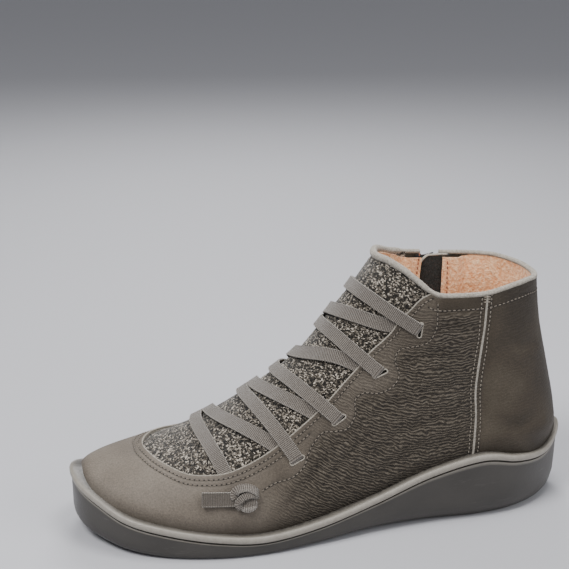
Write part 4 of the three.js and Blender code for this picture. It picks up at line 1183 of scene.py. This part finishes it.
def bar_path(outer_t, outer_slot, ridge_t, inner_t, inner_slot, steps=64):
    ends = []
    for t, slot, side in ((outer_t, outer_slot, 1), (inner_t, inner_slot, -1)):
        share = throat_share(t, side) + 0.012 if slot is None else slot_shares[slot][1]
        ends.append((t, side * share))
    control = [(ends[0][0], ends[0][1]), (ridge_t, 0.0), (ends[1][0], ends[1][1])]
    control = [(t, float(angle_at(t, share))) for t, share in control]
    places = column(control, np.linspace(0, 2, steps + 1))
    points, along, across, normal = directions(places)
    share_way = np.linspace(-1, 1, steps + 1)
    length = line_length(points)
    keep = (length > (1.5 * MM if outer_slot is not None else -1)) & (
        length < length[-1] - (1.5 * MM if inner_slot is not None else -1))
    points, along, across, normal, share_way = (v[keep] for v in (points, along, across, normal, share_way))
    height = np.zeros(len(points))
    for side, slot in ((-1, outer_slot), (1, inner_slot)):
        way = np.clip(share_way * side, 0, 1)
        low = -panel_drop + 0.15 * MM
        if slot is None:
            h = low + (-lace_thickness - 0.5 * MM - low) * smoothstep(0.9, 1.0, way) * 0.6
            h = h + 1.2 * MM * (1 - np.clip(way / 0.85, 0, 1) ** 2)
        else:
            edge_way = throat_share(ends[0 if side < 0 else 1][0], -side) / abs(ends[0 if side < 0 else 1][1])
            h = low + (0.12 * MM - low) * smoothstep(edge_way - 0.42, edge_way - 0.06, way)
            h = h + 1.2 * MM * (1 - way**2) ** 2
        height = np.where(way > 0, h, height)
    height = np.where(share_way == 0, -panel_drop + 1.35 * MM, height)
    points = points + normal * height[:, None]
    for side, slot in ((-1, outer_slot), (1, inner_slot)):
        if slot is None:
            continue
        index = slice(-1, None) if side > 0 else slice(0, 1)
        end, out, down, wide = points[index][0], along[index][0] * side, normal[index][0], across[index][0]
        bend = 1.75 * MM
        extra, normals, alongs = [], [], []
        for a in np.linspace(0.25, math.pi / 2, 6):
            extra.append(end + out * bend * math.sin(a) - down * bend * (1 - math.cos(a)))
            normals.append(down * math.cos(a) + out * math.sin(a))
            alongs.append((out * math.cos(a) - down * math.sin(a)) * side)
        extra.append(extra[-1] - down * 1.6 * MM)
        normals.append(normals[-1])
        alongs.append(alongs[-1])
        extra, normals, alongs = np.array(extra), np.array(normals), np.array(alongs)
        wides = np.broadcast_to(wide, extra.shape)
        if side > 0:
            points, normal = np.vstack([points, extra]), np.vstack([normal, normals])
            across, along = np.vstack([across, wides]), np.vstack([along, alongs])
        else:
            points, normal = np.vstack([extra[::-1], points]), np.vstack([normals[::-1], normal])
            across, along = np.vstack([wides, across]), np.vstack([alongs[::-1], along])
    return points, along, across, normal


bars = band_piece("lace_bars", [band_mesh(*bar_path(*bar)) for bar in BARS], elastic.material)
finish_piece(bars, "elastic", "lace_crossings")

# %% [markdown]
# The band ends in two knots. By the toe a short tab points forwards, with a round lobe under the knot and a
# small loop over it. At the collar, on the inner side, the tab hangs down. Both are laid from the same band,
# in a small frame of its own: towards the tab, across it and off the leather.

# %% Knots


def knot_frame(t, share, turn):
    place = np.array([[t - 0.03, float(angle_at(t - 0.03, share))], [t, float(angle_at(t, share))],
                      [t + 0.03, float(angle_at(t + 0.03, share))]])
    points, along, across, normal = (v[1] for v in directions(place))
    toward = along * math.cos(turn) + across * math.sin(turn)
    return points, toward, np.cross(normal, toward), normal


def knot_band(frame, path, lean, width):
    """A band through rows of along, across and height in millimetres. Lean turns its face, in radians."""
    center, toward, aside, out = frame
    path = smooth_line(path, 8) * MM
    lean = np.interp(np.linspace(0, 1, len(path)), np.linspace(0, 1, len(lean)), lean)[:, None]
    points = center + path[:, 0:1] * toward + path[:, 1:2] * aside + path[:, 2:3] * out
    along = unit(np.gradient(points, axis=0))
    face = out * np.cos(lean) + aside * np.sin(lean)
    across = unit(np.cross(face, along))
    return band_mesh(points, along, across, np.cross(along, across), width * MM)


def lobe(frame, middle, radii, rings=12, corners=28):
    """A flattened round fold of the band."""
    center, toward, aside, out = frame
    rows = []
    for a in np.linspace(0.02, math.pi - 0.02, rings):
        b = np.linspace(0, 2 * math.pi, corners, endpoint=False)
        p = np.stack([np.sin(a) * np.cos(b), np.sin(a) * np.sin(b), np.full(corners, np.cos(a))], -1)
        p = (np.array(middle) + p * np.array(radii)) * MM
        rows.append(center + p[:, 0:1] * toward + p[:, 1:2] * aside + p[:, 2:3] * out)
    rows = np.array(rows)
    uv = np.stack([((rows - center) @ toward), 0.5 + 0.36 * ((rows - center) @ aside) / (radii[1] * MM)], -1)
    return rows, uv


def knot(name, frame, flip, *nodes):
    s = flip
    parts = [
        knot_band(frame, [(-3, -0.4 * s, 1.3), (3, -0.6 * s, 1.2), (9, -0.2 * s, 0.8), (14, 0.2 * s, 0.6),
                          (19.6, 0.8 * s, 0.75)], (0, 0, 0.06 * s), 7.2),
        lobe(frame, (-2.6, -3.7 * s, 1.2), (5.0, 4.3, 1.9)),
        knot_band(frame, [(-7.5, 0.8 * s, 0.5), (-6, 2.4 * s, 2.2), (-2.5, 4.0 * s, 3.0), (1.6, 3.6 * s, 2.6),
                          (3.4, 1.6 * s, 1.6), (3.0, -0.6 * s, 1.4)], (0.6 * s, 0.7 * s, 0.5 * s, 0.1 * s), 4.6),
        knot_band(frame, [(-7.8, -0.2 * s, 0.8), (-4.4, 0.6 * s, 2.8), (-0.6, -0.2 * s, 3.3), (2.2, -2.6 * s, 2.6),
                          (1.2, -5.4 * s, 1.4)], (0.3 * s, 0, -0.3 * s), 3.6),
    ]
    piece = band_piece(name, parts, elastic.material, darker_by=(0.75, 0.35, 0.0, 0.0))
    finish_piece(piece, "elastic", *nodes)


knot("knot_toe", knot_frame(7.36, 0.44, math.pi - 0.2), -1, "lace_knot_toe")
knot("knot_collar", knot_frame(14.7, -0.279, 2.84), 1, "lace_knot_collar")

# %% [markdown]
# Edges and seams are tubes: the rolled binding of the collar, the raised seams, the pale cut edge of the
# leather by the lace and the rims of the slots. They share one sweep.

# %% Tubes


def tube_rings(points, aside, up, half_width, half_height, corners=10):
    turn = np.linspace(0, 2 * math.pi, corners, endpoint=False)
    w = np.broadcast_to(half_width, (len(points),))[:, None, None]
    h = np.broadcast_to(half_height, (len(points),))[:, None, None]
    return (points[:, None] + aside[:, None] * w * np.cos(turn)[None, :, None]
            + up[:, None] * h * np.sin(turn)[None, :, None])


def tube_piece(name, runs, materials, slot, nodes=(), closed=False):
    points, faces = [], []
    for rings in runs:
        faces += loft(rings, closed_along=closed, start=sum(len(p) for p in points))
        points.append(rings.reshape(-1, 3))
    piece = new_piece(name, np.vstack(points), faces, materials)
    outward(piece)
    return finish_piece(piece, slot, *nodes)


def skin_tube(line, radius, height, offset, step=1.2 * MM):
    line = resample(line, step)
    _, _, across, normal = directions(line)
    points = skin(line, offset)
    taper = np.sqrt(np.clip(np.minimum(np.arange(len(line)) + 0.6, np.arange(len(line), 0, -1) - 0.4) / 2.0, 0.1, 1))
    return tube_rings(points, across, normal, radius * taper, height * taper)


binding_angles = np.linspace(rear_edge[-1, 1] + turn[1] - 0.03, front_edge[-1, 1] + 0.03, 330)
binding_line = np.stack([collar_t(binding_angles), binding_angles], -1)
_, along, across, normal = directions(binding_line)
shares = np.interp(binding_line[:, 0], throat_rows[:, 0], throat_rows[:, 1])
throat_at = float(np.abs(throat_outer[-1, 1]))
over_textile = smoothstep(throat_at + 0.02, throat_at - 0.10, np.abs(binding_angles))
depth = -1.25 * MM - 0.75 * MM * over_textile
points = skin(binding_line, depth) + np.array([0, 0, 1 * MM]) * (0.8 + 0.8 * over_textile)[:, None]
kernel = np.exp(-(np.linspace(-2, 2, 17) ** 2))
padded = np.vstack([np.repeat(points[:1], 8, 0), points, np.repeat(points[-1:], 8, 0)])
smoothed = np.stack([np.convolve(padded[:, k], kernel / kernel.sum(), "valid") for k in range(3)], -1)
points = points + (smoothed - points) * smoothstep(0, 10, np.minimum(np.arange(330), np.arange(330)[::-1]))[:, None]
up = unit(np.array([0, 0, 1.0]) - normal * normal[:, 2:3])
half_height = (1.25 + 0.6 * over_textile) * MM * (1 + 0.05 * np.sin(np.arange(len(points)) * 1.9))
rings = tube_rings(points, normal, up, (1.6 + 0.3 * over_textile) * MM, half_height, 14)
tube_piece("collar_edge", [rings], [piping], "leather", ["collar_binding"])

tube_piece("leather_edge", [skin_tube(throat_outer, 0.42 * MM, 0.52 * MM, -0.4 * MM),
                            skin_tube(throat_inner, 0.42 * MM, 0.52 * MM, -0.4 * MM)], [cut_edge], "leather")
tube_piece("rear_seam_ridge", [skin_tube(rear_seam, 0.6 * MM, 0.55 * MM, -0.05 * MM)], [piping], "leather")
tube_piece("side_seam_ridge", [skin_tube(side_seam, 0.85 * MM, 0.6 * MM, -0.05 * MM)], [piping], "leather")
tube_piece("zip_piping", [skin_tube(rear_edge, 0.6 * MM, 0.6 * MM, -0.4 * MM),
                          skin_tube(front_edge, 0.6 * MM, 0.6 * MM, -0.4 * MM)], [cut_edge], "leather")


def slot_rim(loop):
    points = skin(loop, 0.02 * MM)
    normal = last_normal(loop[:, 0], loop[:, 1])
    along = unit(np.roll(points, -1, 0) - np.roll(points, 1, 0))
    return tube_rings(points, np.cross(normal, along), normal, 0.38 * MM, 0.3 * MM, 8)


tube_piece("slot_rims", [slot_rim(loop) for loop in slots], [cut_edge], "leather", closed=True)

# %% [markdown]
# Inside, a tan fleece covers the wall from the collar down, and a felt bed lies on the sole. The fleece is
# roughened in the mesh, since a pile this long shows in its outline.

# %% Lining and footbed
lining_angles = np.linspace(rear_edge[-1, 1] + turn[1] - 0.06, front_edge[-1, 1] + 0.06, 230)
grid = np.zeros((64, len(lining_angles), 2))
for j, angle in enumerate(lining_angles):
    from_end = min(abs(angle - lining_angles[0]), abs(angle - lining_angles[-1]))
    top = float(collar_t(angle, (0.5 - 1.9 * smoothstep(0.45, 0.25, from_end)) * MM))
    folded = abs((angle + math.pi) % (2 * math.pi) - math.pi)
    grid[:, j, 0] = np.linspace(top, 8.5 + 5 * smoothstep(0.8, 2.4, folded), 64)
    grid[:, j, 1] = angle
zip_gap_rear = np.interp(grid[..., 0], rear_edge[:, 0], rear_edge[:, 1] + turn[1])
zip_gap_front = np.interp(grid[..., 0], front_edge[:, 0], front_edge[:, 1])
way = (grid[..., 1] - lining_angles[-1]) / (lining_angles[0] - lining_angles[-1])
grid[..., 1] = zip_gap_front + 0.04 + way * (zip_gap_rear - zip_gap_front - 0.08)
from_zip = np.minimum(grid[..., 1] - zip_gap_front, zip_gap_rear - grid[..., 1]) * 33 * MM
near_zip = smoothstep(12 * MM, 7 * MM, from_zip)
drop = np.linspace(0, 1, 64)[:, None] * 40 * MM
pile = last_point(grid[..., 0], grid[..., 1]) @ np.array([[2100.0, 900, 1500], [-1300, 2500, 700], [900, -1700, 2700]])
pile = np.sin(pile[..., 0]) * np.sin(pile[..., 1]) * np.sin(pile[..., 2])
behind_panel = smoothstep(throat_at + 0.4, throat_at + 0.24, np.abs(grid[..., 1]))
deep = np.maximum(1.9 + 1.1 * smoothstep(0, 6 * MM, drop), np.maximum(3.6 * behind_panel, 5.5 * near_zip))
offset = -deep * MM + 0.32 * MM * pile
lining_points = tuck_in(skin(grid, offset).reshape(-1, 3), bead_step + 4.7 * MM)
lining = new_piece("fleece_lining", lining_points, loft(grid, closed_across=False, caps=False), [fleece])
thick = lining.modifiers.new("thickness", "SOLIDIFY")
thick.thickness, thick.offset = 0.8 * MM, 0
bake(lining, 80)
outward(lining)
finish_piece(lining, "textile")

bed_rows = [(6.2, -0.3), (5.6, 0.4), (5.6, 2.0), (6.4, 2.7)]
bed_points = [np.column_stack([edge_line + inward * inset * MM,
                               bed_height_at((edge_line + inward * inset * MM)[:, 0]) + z * MM]) for inset, z in bed_rows]
rim_ring = edge_line + inward * bed_rows[-1][0] * MM
for f in (0.1, 0.25, 0.45, 0.7, 1.0):
    ring = rim_ring + (middle - rim_ring) * f
    bed_points.append(np.column_stack([ring, bed_height_at(ring[:, 0]) + 2.7 * MM]))
low_ring = edge_line + inward * bed_rows[0][0] * MM
bed_points.insert(0, np.column_stack([middle, bed_height_at(middle[:, 0]) - 0.3 * MM]))
bed = new_piece("footbed", np.vstack(bed_points), loft(bed_points, closed_across=True, caps=False), [footbed])
outward(bed)
finish_piece(bed, "insole_felt", "insole")

# %% [markdown]
# The zip on the inner side: two tapes under the leather, the coil, which is one small tooth stamped along the
# line, the guard behind it with its piped top, the slider and its pull tab.

# %% Zip tapes and guard
zip_rows = resample(until_collar(zip_line), 1.6 * MM)
rear_sign = 1 if abs(shift(zip_line, 1 * MM)[0, 1]) > abs(zip_line[0, 1]) else -1
rise = np.linspace(0, 1, len(zip_rows))
half_gap = zip_half_bottom + (zip_half_top - zip_half_bottom) * rise


def zip_layer(name, left, right, face, thickness, material, slot, *nodes, columns=9):
    across = np.linspace(0, 1, columns)
    grid = np.stack([shift(zip_rows, left + (right - left) * f) for f in across], 1)
    piece = new_piece(name, skin(grid, face * MM).reshape(-1, 3), loft(grid, closed_across=False, caps=False),
                      [material])
    if Vector(piece.data.polygons[9].normal).dot(Vector(last_normal(*grid[5, 4]))) < 0:
        piece.data.flip_normals()
    thick = piece.modifiers.new("thickness", "SOLIDIFY")
    thick.thickness, thick.offset = thickness * MM, -1
    bake(piece, 50)
    return finish_piece(piece, slot, *nodes)


reach = half_gap + 4 * MM
zip_layer("tape_rear", rear_sign * 0.15 * MM, rear_sign * reach, -2.1, 0.7, black_tape, "zip_tape", "zip_tape_rear")
zip_layer("tape_front", -rear_sign * 0.15 * MM, -rear_sign * reach, -2.1, 0.7, black_tape, "zip_tape",
          "zip_tape_front")
front_half = -rear_sign * 10 * MM * np.sqrt(1 - 0.96 * np.clip((rise - 0.8) / 0.2, 0, 1) ** 2)
rear_half = rear_sign * 10 * MM
zip_layer("guard", front_half, rear_half, -3.2, 1.4, black_fleece, "textile", "zip_guard", columns=21)
guard_top = np.array([zip_rows[-1] + (shift(zip_rows, rear_half)[-1] - zip_rows[-1]) * f for f in (0, 0.3, 0.6, 0.9)])
guard_edge = np.vstack([shift(zip_rows, front_half)[-22:], guard_top])
tube_piece("guard_piping", [skin_tube(guard_edge, 0.6 * MM, 0.95 * MM, -3.9 * MM)], [piping], "textile")

# %% [markdown]
# Small repeats come from one Geometry Nodes tree: a rounded grain is stamped on points, turned by two
# vectors that the points carry. Stitches, needle holes and the zip's coil differ only in their sizes.

# %% Stamps


def stamp_group():
    group = bpy.data.node_groups.new("stamp_grains", "GeometryNodeTree")
    sockets = group.interface
    sockets.new_socket("Geometry", in_out="INPUT", socket_type="NodeSocketGeometry")
    for name in ("Length", "Width", "Height"):
        sockets.new_socket(name, in_out="INPUT", socket_type="NodeSocketFloat")
    sockets.new_socket("Segments", in_out="INPUT", socket_type="NodeSocketInt")
    sockets.new_socket("Material", in_out="INPUT", socket_type="NodeSocketMaterial")
    sockets.new_socket("Geometry", in_out="OUTPUT", socket_type="NodeSocketGeometry")
    nodes, links = group.nodes, group.links
    given, result = nodes.new("NodeGroupInput"), nodes.new("NodeGroupOutput")
    grain = nodes.new("GeometryNodeMeshUVSphere")
    grain.inputs["Rings"].default_value = 5
    grain.inputs["Radius"].default_value = 0.5
    links.new(given.outputs["Segments"], grain.inputs["Segments"])
    vectors = []
    for name in ("up", "along"):
        node = nodes.new("GeometryNodeInputNamedAttribute")
        node.data_type = "FLOAT_VECTOR"
        node.inputs["Name"].default_value = name
        vectors.append(node.outputs["Attribute"])
    turned = nodes.new("FunctionNodeAxesToRotation")
    turned.primary_axis, turned.secondary_axis = "Z", "X"
    links.new(vectors[0], turned.inputs["Primary Axis"])
    links.new(vectors[1], turned.inputs["Secondary Axis"])
    size = nodes.new("ShaderNodeCombineXYZ")
    for name, axis in (("Length", "X"), ("Width", "Y"), ("Height", "Z")):
        links.new(given.outputs[name], size.inputs[axis])
    stamp = nodes.new("GeometryNodeInstanceOnPoints")
    links.new(given.outputs["Geometry"], stamp.inputs["Points"])
    links.new(grain.outputs["Mesh"], stamp.inputs["Instance"])
    links.new(turned.outputs["Rotation"], stamp.inputs["Rotation"])
    links.new(size.outputs["Vector"], stamp.inputs["Scale"])
    real = nodes.new("GeometryNodeRealizeInstances")
    links.new(stamp.outputs["Instances"], real.inputs["Geometry"])
    dressed = nodes.new("GeometryNodeSetMaterial")
    links.new(real.outputs["Geometry"], dressed.inputs["Geometry"])
    links.new(given.outputs["Material"], dressed.inputs["Material"])
    links.new(dressed.outputs["Geometry"], result.inputs["Geometry"])
    return group


grains = stamp_group()
grain_sockets = {item.name: item.identifier for item in grains.interface.items_tree if item.in_out == "INPUT"}


def stamp(name, points, along, up, length, width, height, material, slot, *nodes, segments=8):
    mesh = bpy.data.meshes.new(name)
    mesh.from_pydata([tuple(map(float, p)) for p in points], [], [])
    mesh.materials.append(material)
    piece = bpy.data.objects.new(name, mesh)
    bpy.context.scene.collection.objects.link(piece)
    write_attribute(piece, "along", along)
    write_attribute(piece, "up", up)
    modifier = piece.modifiers.new("grains", "NODES")
    modifier.node_group = grains
    values = {"Length": length * MM, "Width": width * MM, "Height": height * MM, "Segments": segments,
              "Material": material}
    for key, value in values.items():
        modifier[grain_sockets[key]] = value
    bake(piece, 180)
    return finish_piece(piece, slot, *nodes)


def along_line(line, pitch, offset, phase=0.0):
    """Evenly spaced points on a line of the leather, with their directions."""
    line = resample(line, pitch / 2)
    points, along, _, normal = directions(line)
    pick = slice(1 if phase else 0, None, 2)
    return points[pick] - normal[pick] * (crease_depth(points[pick]) + offset)[:, None], along[pick], normal[pick]


def gathered(names, pitch, offset, phase=0.0):
    rows = [along_line(stitch_lines[name], pitch, offset, phase) for name in names]
    return [np.vstack(part) for part in zip(*rows)]


quiet = ["scallop_outer", "scallop_inner", "throat_outer", "throat_inner", "toe_second", "collar", "collar_front",
         "zip_rear", "zip_front"]
bright = ["seam_front", "seam_rear", "side_upper", "side_lower"]
stamp("stitches", *gathered(quiet, 2.4 * MM, 0.06 * MM), 1.75, 0.62, 0.5, thread, "leather")
stamp("seam_stitches", *gathered(bright, 2.3 * MM, 0.06 * MM), 1.6, 0.6, 0.5, pale_thread, "leather")
# Dark grains between the stitches paint the shade in the needle holes.
stamp("needle_holes", *gathered(quiet + bright, 2.4 * MM, 0.2 * MM, 1), 0.95, 0.85, 0.36, hole_shade, "leather",
      segments=6)
slot_places = np.array([loop.mean(0) for loop in slots])
slot_along = unit(np.array([skin(loop[:1])[0] - skin(loop[10:11])[0] for loop in slots]))
slot_normal = last_normal(slot_places[:, 0], slot_places[:, 1])
# A dark grain under each slot paints the shade inside the slot.
stamp("slot_dark", skin(slot_places, -0.95 * MM), slot_along, slot_normal, 8.6, 2.9, 0.7, hole_shade, "leather", segments=16)
tack = skin(rear_seam[-4:-1])
_, tack_along, tack_across, tack_up = directions(rear_seam[-4:-1])
stamp("bartack", tack, tack_across, tack_up, 4.2, 0.8, 0.9, pale_thread, "leather")

coil_line = resample(until_collar(zip_line), 0.62 * MM)
_, coil_along, coil_across, coil_up = directions(coil_line)
side = np.where(np.arange(len(coil_line)) % 2 == 0, 1, -1)
coil_points = skin(shift(coil_line, side * 1.45 * MM), -1.15 * MM)
tilt = unit(coil_across + coil_along * 0.35)
stamp("zip_coil", coil_points, tilt, coil_up, 3.3, 1.05, 1.25, teeth_black.material, "zip_teeth", "zip_chain")

lining_edge = []
for edge, way in ((rear_edge + turn, -1), (front_edge, 1)):
    line = resample(edge, 2.6 * MM)[-26:]
    line = line + np.array([0, way * 0.085])
    _, along, _, normal = directions(line)
    lining_edge.append((skin(line, -6.15 * MM), along, -normal))
stamp("lining_stitches", *[np.vstack(part) for part in zip(*lining_edge)], 1.9, 0.75, 0.8, rust_thread, "textile")

# %% Slider and pull tab
pin = np.array([-64.536, -32.776, 116.245]) * MM
zip_along = unit(np.array([-0.028, 0.038, 0.999]))
zip_out = unit(np.array([0.057, -0.998, 0.039]))
zip_across = unit(np.cross(zip_along, zip_out))


def at_pin(rows):
    """Points from rows of along, across and out in millimetres, seen from the pin."""
    rows = np.asarray(rows, float) * MM
    return pin + rows[..., 0:1] * zip_along + rows[..., 1:2] * zip_across + rows[..., 2:3] * zip_out


def pill(length, width, corners=28, square=2.6):
    a = np.linspace(0, 2 * math.pi, corners, endpoint=False)
    c, s = np.cos(a), np.sin(a)
    return np.stack([np.sign(c) * np.abs(c) ** (2 / square) * length / 2,
                     np.sign(s) * np.abs(s) ** (2 / square) * width / 2], -1)


def slab(center, length, width, low, high, soft=0.3, square=3.2, taper=0.0):
    rows = []
    for inset, h in ((soft, low), (0, low + soft), (0, high - soft), (soft, high)):
        flat = pill(length - 2 * inset, width - 2 * inset, square=square)
        flat[:, 1] *= 1 - taper * flat[:, 0] / length
        rows.append(np.column_stack([flat + center, np.full(len(flat), h)]))
    return rows


def metal_piece(name, solids, slot, body, *nodes):
    points, faces = [], []
    for rows in solids:
        faces += loft(rows, start=sum(len(p) for p in points), closed_along=len(rows) > 20)
        points += [at_pin(row) for row in rows]
    piece = new_piece(name, np.vstack(points), faces, [metal.material])
    outward(piece)
    piece.data.set_sharp_from_angle(angle=math.radians(40))
    return finish_piece(piece, slot, *nodes, body=body)


bridge = []
for a in np.linspace(0, math.pi, 13):
    c, s = 2.7 * math.cos(a), 1.65 * math.sin(a) - 1.05
    ring = [(c + 0.42 * math.cos(a) * math.cos(b), 0.75 * math.sin(b), s + 0.42 * math.sin(a) * math.cos(b) + 0.1)
            for b in np.linspace(0, 2 * math.pi, 12, endpoint=False)]
    bridge.append(np.array(ring))
metal_piece("slider", [
    slab((0, 0), 8.8, 7.5, -1.9, -0.95, taper=0.25),
    slab((0, 3.35), 8.6, 1.0, -3.6, -1.0), slab((0, -3.35), 8.6, 1.0, -3.6, -1.0), bridge,
], "dark_metal", "boot", "zip_slider")


def loop_ring(outer_length, outer_width, bar, start, thick=1.1):
    """A flat loop with a rounded section that starts at a place and hangs down."""
    rows = []
    middle_line = pill(outer_length - bar, outer_width - bar, 44, 2.5)
    tangent = unit(np.roll(middle_line, -1, 0) - np.roll(middle_line, 1, 0))
    aside = np.stack([tangent[:, 1], -tangent[:, 0]], -1)
    for p, n in zip(middle_line, aside):
        ring = [(p[0] - outer_length / 2 + start + n[0] * bar / 2 * math.cos(b), p[1] + n[1] * bar / 2 * math.cos(b),
                 thick / 2 * math.sin(b)) for b in np.linspace(0, 2 * math.pi, 10, endpoint=False)]
        rows.append(np.array(ring))
    return rows


metal_piece("pull_tab", [
    loop_ring(6.4, 5.2, 1.15, 0.55),
    loop_ring(18.6, 7.2, 1.5, -5.2),
    slab((-14.4, 0), 16.4, 5.0, -0.35, 0.35, soft=0.12, square=2.5),
], "dark_metal", "zip_pull", "zip_pull_tab")

# %% Floor and light
floor_material = Tree("pale_floor", 0.75, specular=0.2)
floor_material.color((0.47, 0.47, 0.495))
bpy.ops.mesh.primitive_plane_add(size=6)
floor = bpy.context.object
floor.name = "floor"
floor.data.materials.append(floor_material.material)


def area_light(name, place, target, size, power, color=(1, 1, 1)):
    data = bpy.data.lights.new(name, "AREA")
    data.shape, data.size, data.energy, data.color = "DISK", size, power, color
    light = bpy.data.objects.new(name, data)
    direction = Vector(target) - Vector(place)
    light.matrix_world = Matrix.Translation(place) @ direction.to_track_quat("-Z", "Y").to_matrix().to_4x4()
    bpy.context.scene.collection.objects.link(light)


area_light("key", (0.55, 0.35, 0.95), (0.03, 0, 0.05), 0.5, 12)
area_light("fill", (-0.7, 0.7, 0.5), (-0.03, 0, 0.06), 0.8, 5)
area_light("top", (-0.1, 0.08, 0.75), (-0.05, 0, 0.08), 0.3, 2.8)
area_light("rim", (-0.1, -0.8, 0.8), (0, 0, 0.06), 0.6, 8)
world = bpy.data.worlds.new("studio")
world.use_nodes = True
world.node_tree.nodes["Background"].inputs["Color"].default_value = (0.75, 0.76, 0.8, 1)
world.node_tree.nodes["Background"].inputs["Strength"].default_value = 0.42
bpy.context.scene.world = world
